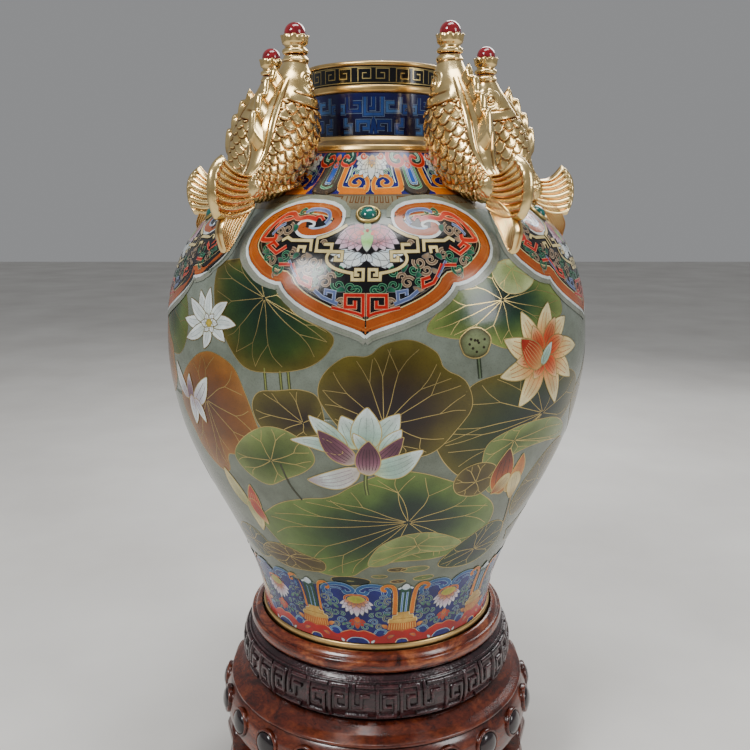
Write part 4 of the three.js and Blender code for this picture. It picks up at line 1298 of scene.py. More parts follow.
CELLS_ABOVE = 10             # repeats round the shoulder band
CELL_SCALE = 1.66            # mm across a repeat for each degree


def build_shoulder_band():
    art = Painter()
    art.band(386, 421.8, [ROYAL, (20, 32, 120)], 1, 14)
    art.band(377, 388, [(140, 134, 114), (150, 138, 110)], 1.6, 6)
    art.band(387, 388.2, [(120, 112, 92), (120, 112, 92)], 2.2, 3)
    art.band(420.4, 421.8, [(150, 96, 40), (150, 96, 40)], 9, 3)
    art.build("shoulder_ground")
    repeat = 360 / CELLS_ABOVE
    for k in range(CELLS_ABOVE):
        art = Painter()
        azimuth = DECOR_TURN + repeat * k
        draw_shoulder_cell(Motif(art, azimuth, CELL_SCALE, 3))
        draw_shoulder_tongue(Motif(art, azimuth + repeat / 2, CELL_SCALE, 3))
        draw_meander(Motif(art, azimuth, 2.2, 2))
        art.build(f"shoulder_cell_{k + 1}")


def draw_shoulder_cell(cell):
    """A white lotus on deep blue between two orange brackets with facing curls."""
    yellow_edge = (236, 206, 130)
    bracket = [(20, 412), (20.6, 400), (20.2, 394.4), (17.6, 391.6), (4, 390.8), (2.4, 394)]
    cell.edged(bracket, 3.4, ORANGE, yellow_edge, 1.4)
    cell.line([(19, 389.6), (2.6, 389.4)], 3.2, ORANGE, 1.9, False)
    curl = [(2.4, 391), (1.8, 396), (3.6, 400.4), (8, 402.6), (12.6, 401), (14.4, 397.4), (12.6, 394.6),
            (9, 394.2),
            (7.4, 396.6), (9.4, 398.4)]
    cell.edged(curl, 2.7, ORANGE, yellow_edge, 2.2, taper=0.35)
    cell.edged([(15.8, 410), (16.4, 401), (17, 396.6)], 1.0, (206, 222, 232), BLACK, 2)
    petals = [((13, 411), 6.4), ((12.4, 405.6), 6.2), ((9, 402), 6), ((5, 399.6), 5.6), ((14.6, 416), 6)]
    for tip, width in petals:
        cell.petal((1, 414), tip, width, [(226, 200, 150), WHITE, WHITE], 3 + tip[0] / 30, 0.5)
    for tip, width in (((8.4, 406.6), 5), ((4.6, 404), 5), ((10, 412.6), 5)):
        cell.petal((0.6, 414), tip, width, [(222, 190, 110), (236, 230, 214), WHITE], 3.8, -0.4)
    cell.petal((0, 414), (0, 398.4), 5.4, [(222, 190, 110), WHITE, WHITE], 4.2, 0, False)
    cell.petal((0, 412), (0, 418.6), 5, [(196, 120, 40), (222, 180, 90)], 4.8, 0, False)
    for tip in ((2.6, 410.4), (-2.6, 410.4), (0, 408)):
        cell.petal((0, 414), tip, 2.6, [(206, 150, 60), (226, 190, 110)], 5, 0, False)
    cell.edged(spiral((7.6, 417.6), 2.8, 1.2, 180), 1.3, (206, 74, 46), (236, 190, 150), 4.6, taper=0.3)
    cell.edged(spiral((11, 404.8), 2.0, 1.0, 30), 0.8, (96, 150, 140), (190, 210, 190), 3.4)
    cell.edged([(12.8, 408), (15, 404), (13.6, 401)], 0.8, (96, 150, 140), (190, 210, 190), 3.4)


def draw_shoulder_tongue(tongue):
    """A red-edged cloud head over a rounded striped tongue."""
    outline = [(0, 388), (4, 388.6), (7.4, 391.4), (8.2, 396), (8.2, 404), (7.6, 412), (0, 413)]
    tongue.fill(outline, (3, 402), [(0, (104, 98, 88)), (1, (84, 78, 74))], 1.0)
    tongue.line([(8.6, 408), (8.8, 396), (7.6, 391), (4, 388), (0, 387.4)], 1.8, BLACK, 1.4)
    tongue.edged([(4.4, 411), (4.4, 396.4), (3.2, 393.6), (0, 392.4)], 0.8, (60, 150, 110), (170, 206, 180),
                 2.2)
    tongue.edged([(2.2, 411), (2.2, 397.6), (0, 396)], 0.8, (90, 140, 206), (206, 222, 232), 2.6)
    tongue.fill([(0, 398), (1.4, 399), (1.6, 411), (0, 411)], (0.6, 405), plain((60, 110, 190)), 2.0)
    tongue.fill([(0, 421), (12, 421), (15, 418), (14.6, 413), (10.4, 410.8), (6, 411.4), (3.4, 413.6),
                 (0, 412)],
                (7, 416), [(0, TEAL), (1, (24, 84, 76))], 3)
    tongue.edged([(15.6, 421), (16.6, 416.6), (14.4, 411.8), (9.6, 409.8), (4.6, 411.4), (3.6, 415),
                  (6.6, 417.4),
                  (9.8, 415.6)], 2.3, (204, 58, 40), SALMON, 3.8)
    tongue.edged([(11, 420.6), (12.6, 417.4), (11.4, 414.6), (8.6, 414)], 1.0, (120, 180, 150),
                 (206, 226, 206), 4.6)
    tongue.fill([(0, 421), (4, 421), (4.6, 418.4), (2.4, 416), (0, 415.4)], (1.6, 418.6),
                [(0, (50, 90, 176)), (1, ROYAL)], 4)
    tongue.petal((0, 413.4), (0, 419.4), 3.4, [(206, 74, 46), (236, 170, 110)], 4.6, 0, False)
    tongue.edged([(0, 412.6), (1.6, 410.6), (0, 408.8), (-1.6, 410.6), (0, 412.6)], 1.2, (204, 58, 40),
                 SALMON, 4.8, True, False)


def draw_meander(band):
    """Squared curls and upright bars in tan on grey, below the brackets."""
    brown = (122, 86, 48)
    curl = [(36, 380.4), (21, 380.4), (21, 386.4), (31, 386.4), (31, 382.8), (25.4, 382.8), (25.4, 384.8)]
    band.line(curl, 0.9, brown, 1, False)
    for x in (4, 8, 12):
        band.line([(x, 386.6), (x, 382), (x + 2, 382), (x + 2, 386.6)], 0.8, brown, 1, False)
    band.line([(17, 386.6), (17, 380.6), (14.8, 380.6)], 0.8, brown, 1, False)
    band.line([(0, 380.6), (0, 386.4)], 0.8, brown, 1, False, False)
    band.line([(34.6, 383), (34.6, 386.4), (39, 386.4)], 0.8, brown, 1, False)


# ---------------------------------------------------------------- the band at the base

CELLS_BELOW = 9              # repeats round the base band
BASE_SCALE = 2.0             # mm across a repeat for each degree
BASE_TURN = -6               # how far the first repeat is turned from the front lappet, degrees


def on_base_band(azimuth, height, lift=0.0):
    """Like on_jar, with heights above the shell's foot squeezed by BAND_SQUEEZE."""
    return on_jar(azimuth, SHELL_LOW + (np.asarray(height) - SHELL_LOW) * BAND_SQUEEZE, lift)


def build_base_band():
    art = Painter(on_base_band)
    art.band(13.7, 80, [ROYAL, (22, 34, 118)], 12, 26)
    art.build("base_ground", "lower_body_shell")
    repeat = 360 / CELLS_BELOW
    for k in range(CELLS_BELOW):
        art = Painter(on_base_band)
        azimuth = DECOR_TURN + BASE_TURN + repeat * k
        draw_base_cell(Motif(art, azimuth, BASE_SCALE, LAPPET_BASE))
        draw_base_pillar(Motif(art, azimuth + repeat / 2, BASE_SCALE, LAPPET_BASE))
        art.build(f"base_cell_{k + 1}", "lower_body_shell")


def draw_base_cell(cell):
    """A pink-white fan lotus under blue cloud curls, among fine scrolls."""
    top = [(31, 66), (30, 74), (24, 80), (16, 85), (8, 84), (0, 78), (0, 60), (20, 56)]
    cell.fill(top, (12, 70), [(0, ROYAL), (1, (34, 52, 140))], 0.3)
    cloud = [(26, 72), (27, 78), (22.6, 83), (15, 86), (7, 84.6), (2, 79.4), (3.6, 75.4), (8, 75),
             (9.6, 78.4)]
    cell.edged(cloud, 3.2, SKY, ICE, 1)
    cell.edged([(22, 74), (20.6, 79), (15, 81), (11, 79.4)], 1.4, (46, 84, 160), ICE, 1.8)
    scrolls = [((20, 62), 5, 1.3, 90), ((27.4, 66), 4.6, -1.3, 270), ((27, 54), 4.6, 1.2, 200),
               ((19.4, 49), 4.4, -1.2, 20),
               ((26.6, 43), 4.2, 1.2, 120), ((14.6, 39), 4.2, -1.2, 180), ((7.4, 32.6), 4.4, 1.2, 30),
               ((19.8, 34), 3.8, -1.2, 300), ((22, 70), 3.2, 1.1, 0), ((13, 47), 2.6, 1.0, 60)]
    for number, (centre, radius, turns, start) in enumerate(scrolls):
        colour = [(46, 120, 120), (120, 116, 110), (60, 110, 170)][number % 3]
        cell.edged(spiral(centre, radius, turns, start), 1.2, colour, (176, 190, 176), 1.6, taper=0.35)
    for base, tip in (((22, 56), (26, 60)), ((16, 54), (20, 57)), ((10, 36), (14, 33)), ((24, 48), (29, 48))):
        cell.petal(base, tip, 2.6, [(60, 130, 120), (150, 180, 150)], 2.2, 0.6)
    fan = [(206, 90, 60), (222, 170, 180), (230, 214, 226), WHITE]
    for tip, width in (((14.6, 60), 6), ((13, 54.6), 6), ((9.6, 50), 6), ((5, 46.6), 6)):
        cell.petal((1, 66), tip, width, fan, 3 + tip[0] / 30, 0.4)
    cell.petal((0, 66), (0, 44.6), 6.4, fan, 4, 0, False)
    for tip, width in (((10.4, 63.4), 5), ((7.6, 58.4), 5), ((3.4, 55.6), 5)):
        cell.petal((0.6, 67), tip, width, [(196, 70, 40), (206, 130, 90), (226, 190, 170)], 4.4, -0.4)
    cell.fill([(0, 62.6), (5, 64), (7.6, 67.4), (5, 70.6), (0, 71.4)], (1.6, 67),
              [(0, (170, 176, 70)), (1, (206, 190, 96))], 5)
    cell.edged([(9.6, 66), (8.6, 70.6), (3.6, 73), (0, 72.6)], 1.3, (206, 96, 50), BUFF, 5.2)
    for tip in ((7.6, 38), (5.4, 33.4)):
        cell.petal((0, 40), tip, 4.6, [(226, 140, 60), (206, 74, 44), (196, 60, 40)], 3.4, 0.6)
    cell.petal((0, 38), (0, 46), 5, [(226, 150, 70), (206, 84, 44)], 3.8, 0, False)
    cell.petal((0, 40), (0, 30), 4.6, [(226, 140, 60), (196, 60, 40)], 3.6, 0, False)
    scallop = [(40, 27), (34, 29.4), (28, 27.6), (24, 23.6), (18, 23), (12, 26), (6, 28.4), (0, 27)]
    for side in (1, -1):
        upper = spline(cell.placed([(side * x, z) for x, z in scallop]), 40)
        lower = spline(cell.placed([(side * x, 13.8) for x, _ in scallop]), 40)
        cell.art.between(lower, upper, [(186, 30, 16), (200, 44, 24)], cell.base + 2.4)
    cell.line(scallop, 0.8, (226, 170, 120), 2.9)
    cell.fill([(0, 19.6), (5, 19), (8.6, 16.6), (9.4, 13.9), (0, 13.9)], (3, 16),
              [(0, (24, 50, 140)), (1, ROYAL)], 3)
    cell.line([(0, 20), (5, 19.4), (9, 16.6), (10.4, 14)], 0.8, ICE, 3.4)
    cell.fill([(14.6, 25.6), (17, 29.4), (21.6, 30.4), (26, 28), (24.6, 24), (19, 21.6)], (20, 26),
              [(0, (30, 56, 150)), (1, ROYAL)], 3)
    cell.edged([(15, 25), (17.4, 29), (21.6, 30), (25.6, 27.6), (24, 24.4)], 0.9, SKY, ICE, 3.4)
    cell.petal((27, 19.4), (33, 22.6), 3, [(206, 100, 40), (226, 160, 90)], 3.2, 0.6)
    cell.petal((12.4, 14), (15.4, 17.6), 2.4, [WHITE, WHITE], 3.2, 0)


def draw_base_pillar(pillar):
    """Two orange strips with curled tops round a green core, on a stepped cream foot."""
    gold_edge = (240, 200, 120)
    pillar.fill([(0, 84), (4.6, 81), (5.4, 60), (5, 48), (0, 47)], (2, 66), [(0, TEAL), (1, (20, 90, 70))], 1)
    pillar.edged([(0, 84.6), (2, 83), (6, 80.6)], 1.8, WHITE, (150, 170, 180), 3)
    pillar.petal((0, 79), (0, 87.6), 7, [(206, 222, 230), WHITE], 3.2, 0, False)
    pillar.edged([(1.9, 76), (1.9, 50)], 0.9, (60, 110, 190), (190, 214, 226), 2, False)
    pillar.line([(4.4, 78), (4.8, 50)], 0.8, BLACK, 2.2, False)
    strip = [(7.4, 48), (7.6, 64), (8.4, 77), (10.4, 83.6), (14.6, 85.6), (18.4, 83), (18, 79.4), (15.4, 79)]
    pillar.edged(strip, 3.4, ORANGE, gold_edge, 2.6, taper=0.25)
    pillar.line([(10.6, 48), (10.6, 64), (11.6, 76)], 1.0, BLACK, 2.5)
    steps = [(0, 50.6), (5, 50.6), (5.6, 47), (9, 46.6), (9.6, 42.6), (12.6, 42), (13, 37.6), (0, 36.6)]
    pillar.fill(steps, (4, 42), [(0, (222, 190, 110)), (1, (206, 166, 90))], 3.6, False)
    pillar.line([(5, 50.6), (5.6, 47), (9, 46.6), (9.6, 42.6), (12.6, 42), (13, 37.6)], 0.7,
                (244, 226, 170), 4, False)
    pillar.line([(0, 42.6), (9, 42.2)], 0.6, (160, 116, 50), 4.2, False)
    fringe = [(0, 37), (12.4, 37.4), (13.6, 29.6), (0, 27)]
    pillar.fill(fringe, (5, 33), [(0, (206, 130, 40)), (1, (196, 116, 34))], 3.4, False)
    for x in (0.9, 2.9, 5, 7.2, 9.4, 11.6):
        pillar.line([(x, 36.6), (x * 1.06, 28.6 + x * 0.1)], 0.7, (236, 190, 110), 4, False)
    pillar.petal((14, 31), (19, 36), 4, [(206, 120, 50), (236, 180, 110)], 3.8, 0.8)
    pillar.fill([(0, 18), (3.6, 17.2), (5.4, 14), (0, 14)], (1.6, 15.6), [(0, (30, 56, 150)), (1, ROYAL)], 3)
    pillar.line([(0, 18.4), (4, 17.4), (6, 14.2)], 0.8, (226, 206, 170), 3.4)


# ---------------------------------------------------------------- stones on the shoulder

STONE_HEIGHT = 373           # height of the middle of each green stone, mm


def build_bezels():
    """A gilt dish with a rolled rim round each green stone, and the polished stone itself."""
    dish = [(0.5, 0.8), (6.9, 0.8), (7.0, 1.6), (7.5, 2.3), (8.3, 2.4), (8.9, 1.9), (9.2, 1.0), (9.3, 0.1),
            (8.8, -0.6)]
    dome = [(6.75 * math.cos(a), 0.9 + 5.0 * math.sin(a)) for a in np.linspace(0, math.pi / 2, 12)]
    for name in [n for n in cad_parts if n.startswith("bezel_")]:
        side = name[len("bezel_"):]
        middle = sum(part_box("cabochon_" + side), Vector()) / 2
        turn = math.atan2(middle.x, -middle.y)
        azimuth = np.array(math.degrees(turn))
        base = on_jar(azimuth, np.array(float(STONE_HEIGHT)))
        out = Vector(on_jar(azimuth, np.array(float(STONE_HEIGHT)), 1.0) - base).normalized()
        across = Vector((math.cos(turn), math.sin(turn), 0))
        axes = np.array([across, across.cross(out), out])
        turned_on(f"bezel_dish_{side}", name, dish, base, axes, WIRE_GILT, "bezel_gilt")
        turned_on(f"stone_{side}", "cabochon_" + side, dome, base, axes, GREEN_STONE, "green_stone")


def turned_rings(outline, axes, columns):
    """Rings round the third axis of an outline of (radius, rise), in mm from its base."""
    across, up, out = axes
    angle = np.linspace(0, math.tau, columns, endpoint=False)
    circle = np.cos(angle)[:, None] * across + np.sin(angle)[:, None] * up
    return np.array([circle * radius + out * rise for radius, rise in outline])


def turned_on(name, node, outline, base, axes, material, slot):
    """A small turned shape standing on the jar's skin in place of a node."""
    surface = Surface()
    surface.add(base + turned_rings(outline, axes, 56) * MM, np.array(WHITE, float), wrap=True)
    weld(surface.build(name, material, slot, "vase", node).data)




# ---------------------------------------------------------------- the gilt carp

# Down the carp from its mouth: distance from the jar's axis, height, half depth, half width, in mm.
CARP_STATIONS = [
    (101, 492, 8.6, 8.6), (101, 487, 9.6, 9.8), (102.5, 478, 13, 12.6), (104.5, 469, 17.5, 16),
    (107, 458, 22.5, 19.3), (110, 446, 26.5, 21.5), (114, 433, 28.5, 22), (120, 420, 27, 21),
    (128, 409, 22.5, 18), (137, 401, 17.5, 14), (146, 395.5, 13, 10.5), (154, 392, 10.5, 8),
    (159, 390.5, 8, 4.5),
]
SCALES_ROUND = (8.4, 5.6)   # scales from back to belly on one side, behind the gill and at the tail
ROW_PITCH = 0.31       # distance between rows of scales, as a share of the body's half thickness
GILL_AT = 38           # distance from the mouth to the gill, mm
RIDGE_AT = 30          # degrees from the middle of the back to the smooth ridge
RIDGE_HALF = 6.5       # half of the ridge's breadth, in degrees
# Painted shade on the carp: the brown-gold below darkens its creases and rib grooves, and the white after it
# leaves the gilt unshaded.
CREASE_SHADE = (140, 92, 46)
UNSHADED = (255, 255, 255)
CARP_SIDES = ("front_right", "right", "back", "left", "front_left")
MOUTH_AT = 101         # distance of the carp's mouth and its bead from the jar's axis, mm
EYE_DOWN, EYE_SIDE = 21, 104    # where the eye is: mm from the mouth, degrees from the back's middle

# The back fin's edge, in (distance from the axis, height): its points and the hollows between them.
FIN_TIPS = [(124, 484), (133.5, 473.5), (142, 461), (149, 448)]
FIN_HOLLOWS = [(128.5, 475), (137, 463), (144.5, 450), (151, 428)]

# The cup that holds a bead, in (radius, height), mm.
BEAD_CUP = [(0.6, 493.2), (7.6, 493.0), (9.4, 493.8), (10.2, 495.2), (9.8, 496.6), (8.2, 497.6), (7.8, 498.6),
            (8.2, 499.8), (9.6, 500.8), (10.2, 502.4), (10.0, 504.2), (10.4, 506.0), (9.4, 506.6),
            (8.0, 505.8),
            (7.2, 504), (0.6, 501.4)]
CUP_LOBES, LOBE_FROM, LOBE_SIZE = 9, 504.5, 0.9
BEAD_RADIUS, BEAD_HEIGHT = 8.2, 508.8


def smooth_step(low, high, value):
    t = np.clip((value - low) / (high - low), 0, 1)
    return t * t * (3 - 2 * t)


def bell(offset, width):
    """1 at the middle, falling away to 0 over about twice the width."""
    return np.exp(-((offset / width) ** 2))


def scale_relief(along, around):
    """Overlapping rounded scales: height from 0 to 1, and how deep each point is in a crease, which is used
    as painted shade.
    """
    row = np.floor(along)

    def one_row(start):
        offset = 0.5 * np.mod(start, 2)
        side = around - offset - np.round(around - offset)
        run = along - start
        beyond = np.hypot(np.maximum(run - 0.5, 0), side / 0.5) - 1
        height = 0.30 + 0.45 * run - 1.1 * side**2 + 0.16 * bell(beyond + 0.14, 0.09)
        return height, beyond

    upper, upper_beyond = one_row(row - 1)
    lower, lower_beyond = one_row(row)
    # painted shade: the upper row's shadow on the row below, and the gaps where rows part
    shadow = bell(np.maximum(upper_beyond, 0), 0.16)
    height = np.where(upper_beyond < 0, upper, lower - 0.30 * shadow)
    crease_shade = np.where(upper_beyond < 0, 0, shadow)
    crease_shade = np.maximum(crease_shade, np.where(lower_beyond > 0, (upper_beyond > 0) * 0.8, 0))
    return height, crease_shade


def carp_surface():
    """The body as a dense skin with lips, eyes, gills, scales and a smooth ridge each side, and painted shade
    in its creases.
    """
    rows, columns = 270, 188
    stations = spline(CARP_STATIONS, rows)
    centre, depth, width = stations[:, :2], stations[:, 2], stations[:, 3]
    along = np.gradient(centre, axis=0)
    along = along / np.linalg.norm(along, axis=1, keepdims=True)
    outward = np.stack([-along[:, 1], along[:, 0]], 1)
    travelled = np.concatenate([[0], np.cumsum(np.linalg.norm(np.diff(centre, axis=0), axis=1))])
    size = (depth + width) / 2
    counted = np.concatenate([[0], np.cumsum(np.diff(travelled) / (size[1:] * ROW_PITCH))])
    turn = np.linspace(-math.pi, math.pi, columns, endpoint=False)
    side = np.degrees(np.abs(turn))[None, :]
    down = travelled[:, None] + 0 * side
    last = travelled[-1]

    per_side = np.interp(down, [GILL_AT, last], SCALES_ROUND)
    # rim is how deep each point lies in a crease between scales, used below as painted shade
    scales, rim = scale_relief(counted[:, None] + 0 * side, side / 180 * per_side)
    gill = GILL_AT + 7 * np.cos(np.radians(side - 70)) - 5
    on_scales = smooth_step(0, 2.5, down - gill) * smooth_step(last - 2, last - 12, down)
    on_scales = on_scales * smooth_step(RIDGE_AT + RIDGE_HALF, RIDGE_AT + RIDGE_HALF + 2, side)
    relief = 2.2 * scales * on_scales
    # crease gathers the painted shade: scale gaps, gill groove, ridge seam, lip and eye ring
    crease_shade = rim * on_scales

    plate = smooth_step(gill - 13, gill - 1, down) * (down < gill) * smooth_step(36, 52, side)
    relief = relief + 1.9 * plate
    groove = bell(down - gill + 8, 0.9) * smooth_step(50, 64, side) * smooth_step(168, 150, side)
    relief = relief - 0.9 * groove
    crease_shade = np.maximum(crease_shade, 0.7 * groove)
    crease_shade = np.maximum(crease_shade, bell(down - gill - 0.5, 0.8) * smooth_step(40, 55, side))

    ridge = np.clip(1 - ((side - RIDGE_AT) / RIDGE_HALF) ** 2, 0, 1) * smooth_step(20, 34, down)
    ridge = ridge * smooth_step(last, last - 14, down)
    relief = relief + 1.7 * np.sqrt(ridge)
    seam = bell(np.abs(side - RIDGE_AT) - RIDGE_HALF, 1.2)
    crease_shade = np.maximum(crease_shade, 0.8 * seam * smooth_step(24, 36, down) * smooth_step(last - 4, last - 14,
                                                                                     down))

    lip = bell(down - 2.6, 1.6)
    relief = relief + 1.3 * lip
    crease_shade = np.maximum(crease_shade, 0.7 * bell(down - 5.6, 0.8))

    across = np.radians(side - EYE_SIDE) * size[:, None]
    forward = down - EYE_DOWN
    reach = np.hypot(forward, across)
    bearing = np.arctan2(across, forward)
    coil = 3.9 + 0.9 * bearing / math.pi
    relief = relief + 2.0 * np.exp(-((reach / 2.2) ** 4)) + 1.1 * bell(reach - coil, 0.75)
    crease_shade = np.maximum(crease_shade, 0.9 * bell(reach - 2.8, 0.5))
    for lid in (6.6, 8.6):
        brow = bell(reach - lid, 0.7) * smooth_step(2.6, 1.4, np.abs(bearing + 1.4))
        relief = relief + 0.8 * brow
    relief = relief + 1.0 * bell(forward + 9, 3.0) * bell(side - 128, 26)

    fin_line = 150 - 26 * smooth_step(78, 108, down)
    fin = bell(side - fin_line, 5.0) * smooth_step(80, 86, down) * smooth_step(112, 104, down)
    relief = relief * (1 - 0.7 * fin) + 3.2 * fin

    across_section = np.cos(turn)[None, :]
    sideways = np.sin(turn)[None, :]
    rho = centre[:, :1] + outward[:, :1] * (depth[:, None] + relief) * across_section
    z = centre[:, 1:] + outward[:, 1:] * (depth[:, None] + relief) * across_section
    y = (width[:, None] + relief) * sideways
    points = np.stack([rho, y, z], -1)
    head, tail = points[0].mean(0), points[-1].mean(0)
    closing = [points[:1] * (1 - t) + head * t for t in (0.999, 0.5)]
    ending = [points[-1:] * (1 - t) + tail * t for t in (0.5, 0.999)]
    points = np.concatenate(closing + [points] + ending)
    crease_shade = np.concatenate([crease_shade[:1], crease_shade[:1], crease_shade, crease_shade[-1:], crease_shade[-1:]])
    # painted shade: points deep in creases are tinted from white towards brown-gold
    tints = blend_colours([UNSHADED, CREASE_SHADE], np.clip(crease_shade, 0, 1))
    return points, tints


def coons(top, bottom, root, edge, rows, columns):
    """A sheet between four meeting curves: top and bottom run along it, root and edge across."""
    top, bottom = spline(top, rows), spline(bottom, rows)
    root, edge = spline(root, columns), spline(edge, columns)
    s = np.linspace(0, 1, rows)[:, None, None]
    t = np.linspace(0, 1, columns)[None, :, None]
    ruled_a = (1 - t) * top[:, None] + t * bottom[:, None]
    ruled_b = (1 - s) * root[None] + s * edge[None]
    corners = (1 - s) * ((1 - t) * top[0] + t * bottom[0]) + s * ((1 - t) * top[-1] + t * bottom[-1])
    return ruled_a + ruled_b - corners


def ribbed_sheet(grid, half, ribs, depth, bend=0.0, plain_from=1.0, rim=0.0, taper=0.35):
    """A thin fin standing in the carp's middle plane, ribbed along its length on both faces, with painted
    shade in the rib grooves.
    """
    rows, columns = grid.shape[:2]
    s = np.linspace(0, 1, rows)[:, None]
    t = np.linspace(0, 1, columns)[None, :]
    wave = np.abs(np.sin(math.pi * ribs * t)) ** 0.6
    ribbed = smooth_step(plain_from + 0.05, plain_from - 0.05, t) * smooth_step(0.0, 0.15, s)
    ribbed = ribbed * smooth_step(0.97, 0.84, s)
    border = np.minimum(np.minimum(t, 1 - t) * 9, np.minimum(s * 9, (1 - s) * 9))
    rounding = np.sqrt(np.clip(1 - (1 - np.clip(border, 0, 1)) ** 2, 0, 1))
    edge = np.minimum(np.minimum(t, 1 - t), (1 - s))
    lift = half * (1 - taper * s) - depth * ribbed * (1 - wave) + rim * bell(edge - 0.07, 0.035)
    lift = np.maximum(lift, 0.3) * rounding
    sway = bend * np.sin(math.pi * t) * s
    faces = []
    for sign in (1, -1):
        faces.append(np.stack([grid[..., 0], sign * lift + sway, grid[..., 1]], -1))
    # painted shade: the rib grooves are tinted from white towards brown-gold
    shade = np.clip(ribbed * (1 - wave) ** 2 * 0.75, 0, 1)
    return faces, blend_colours([UNSHADED, CREASE_SHADE], shade)


def carp_fins():
    """The tail's two lobes and the panelled fin along the back."""
    upper = coons(
        [(151, 404), (158, 403), (166, 404), (172.5, 408.5), (179.5, 416)],
        [(152, 378), (161, 372), (174, 368.6), (187.5, 370)],
        [(151, 404), (150, 391), (152, 378)],
        [(179.5, 416), (187, 411), (192.5, 403.5), (194.5, 393), (193, 381.5), (187.5, 370)], 56, 130)
    lower = coons(
        [(152, 390), (166, 384), (178, 376), (185, 364), (183.5, 354), (180, 345.5)],
        [(150, 382), (157, 374), (164, 365), (170, 356), (175, 350), (180, 345.5)],
        [(152, 390), (151, 386), (150, 382)],
        [(180, 345.5), (180, 345.5), (180, 345.5)], 60, 80)
    scallops = []
    for tip, hollow in zip(FIN_TIPS, FIN_HOLLOWS):
        scallops += [tip, ((tip[0] * 2 + hollow[0]) / 3 + 1.0, (tip[1] + hollow[1]) / 2 + 0.5), hollow]
    dorsal = coons(
        [(116, 460), (116, 468), (118, 476), FIN_TIPS[0]],
        [(138, 416), (143, 418), (147, 421), FIN_HOLLOWS[-1]],
        [(116, 460), (122, 450), (130, 434), (138, 416)],
        scallops, 30, 200)
    return [
        ribbed_sheet(upper, half=5.6, ribs=8, depth=1.9, bend=1.5, plain_from=0.9, rim=1.2),
        ribbed_sheet(lower, half=4.6, ribs=9, depth=1.3, bend=-1.5, rim=0.9),
        ribbed_sheet(dorsal, half=9.0, ribs=4, depth=1.3, rim=0.7, taper=0.78),
    ]


def carp_mesh(name, grids, tints, material=CARP_GILT, wrap=True):
    """One welded mesh from grids of points in mm, in the carp's own frame."""
    surface = Surface()
    for grid in grids:
        surface.add(grid * MM + (0, 0, FOOT), tints, wrap)
    mesh = surface.mesh(name, material)
    weld(mesh, 2e-6)
    return mesh


def turned_grid(outline, columns, lobes=0):
    """A turned shape round a vertical line through the carp's mouth, with an optional scalloped rim."""
    angle = np.linspace(0, math.tau, columns, endpoint=False)[None, :]
    outline = np.asarray(outline, float)
    radius = outline[:, 0][:, None]
    height = outline[:, 1][:, None]
    wave = np.abs(np.cos(lobes * angle / 2)) if lobes else 0 * angle
    grow = smooth_step(LOBE_FROM - 2.5, LOBE_FROM + 1.0, height) * wave * LOBE_SIZE
    reach = radius + grow
    return np.stack([MOUTH_AT + reach * np.cos(angle), reach * np.sin(angle), height + grow * 0.9], -1)


def build_carp():
    """Five carp round the neck, each with its fins, bead cup and bead, from one set of meshes."""
    body, tints = carp_surface()
    ball = [(BEAD_RADIUS * math.sin(a), BEAD_HEIGHT - BEAD_RADIUS * math.cos(a))
            for a in np.linspace(0.02, math.pi - 0.02, 26)]
    parts = [("carp_skin", carp_mesh("carp_body", [body], tints), "carp_gilt", "carp_")]
    for label, (faces, shades) in zip(("tail_upper", "tail_lower", "back_fin"), carp_fins()):
        parts.append((f"carp_{label}", carp_mesh(f"carp_{label}", faces, shades, wrap=False), "carp_gilt",
                      None))
    cup = carp_mesh("bead_cup", [turned_grid(BEAD_CUP, 72, CUP_LOBES)], np.array(UNSHADED, float))
    bead = carp_mesh("bead_ball", [turned_grid(ball, 48)], np.array(WHITE, float), RED_GLASS)
    parts.append(("bead_cup", cup, "setting_gilt", "bead_setting_"))
    parts.append(("bead_ball", bead, "red_bead", "bead_"))
    spacing = 360 / len(CARP_SIDES)
    for number, side in enumerate(CARP_SIDES):
        turn = math.radians(DECOR_TURN + spacing * (number + 0.5) - 90)
        for label, mesh, slot, node in parts:
            nodes = [node + side] if node else []
            finish_piece(f"{label}_{side}", mesh, slot, "vase", nodes, turn)




# ---------------------------------------------------------------- the wooden stand

FLOOR = -FOOT / MM     # the ground, as a height above the jar's foot


def turned_outline(points, soften):
    """A stand outline given as (radius, height above the ground), with softened corners."""
    return rounded([(r, z + FLOOR) for r, z in points], soften, 5)


def on_outline(outline):
    """A placing function for a turned outline of (radius, height above the ground)."""
    curve = spline([(z + FLOOR, r) for r, z in outline], 200)
    return placing(lambda height: np.interp(height, curve[:, 0], curve[:, 1]), float(curve[:, 1].mean()))


# Across a carved bar: place in half widths, and height as a share of the bar's height.
BAR_SECTION = [(-1.1, -0.3), (-0.8, 0.8), (-0.5, 1.0), (0.5, 1.0), (0.8, 0.8), (1.1, -0.3)]


def raised_bar(surface, place, corners, width, height):
    """A carved bar that stands out of the wood, with bevelled sides."""
    path = dense_path(corners, 2.5, place, False, False)
    scale, flat, along, normal = path_frame(path, place)
    extended = flat.copy()
    extended[0] -= along[0] * width / 2
    extended[-1] += along[-1] * width / 2
    columns = []
    for side, rise in BAR_SECTION:
        moved = extended + normal * (width / 2 * side)
        azimuth = path[:, 0] + (moved[:, 0] - flat[:, 0]) / scale
        columns.append(place(azimuth, moved[:, 1], height * rise))
    bar = np.stack(columns)
    surface.add(bar, np.array(WHITE, float))
    for end in (0, -1):
        wall = np.stack([bar[:, end], np.broadcast_to(bar[[0, -1], end].mean(0), bar[:, end].shape)])
        surface.add(wall, np.array(WHITE, float))


WAIST = [(121, 120.6), (124.8, 125), (127, 132), (127.5, 140), (126.6, 148), (123.6, 155), (118.5, 160.5)]


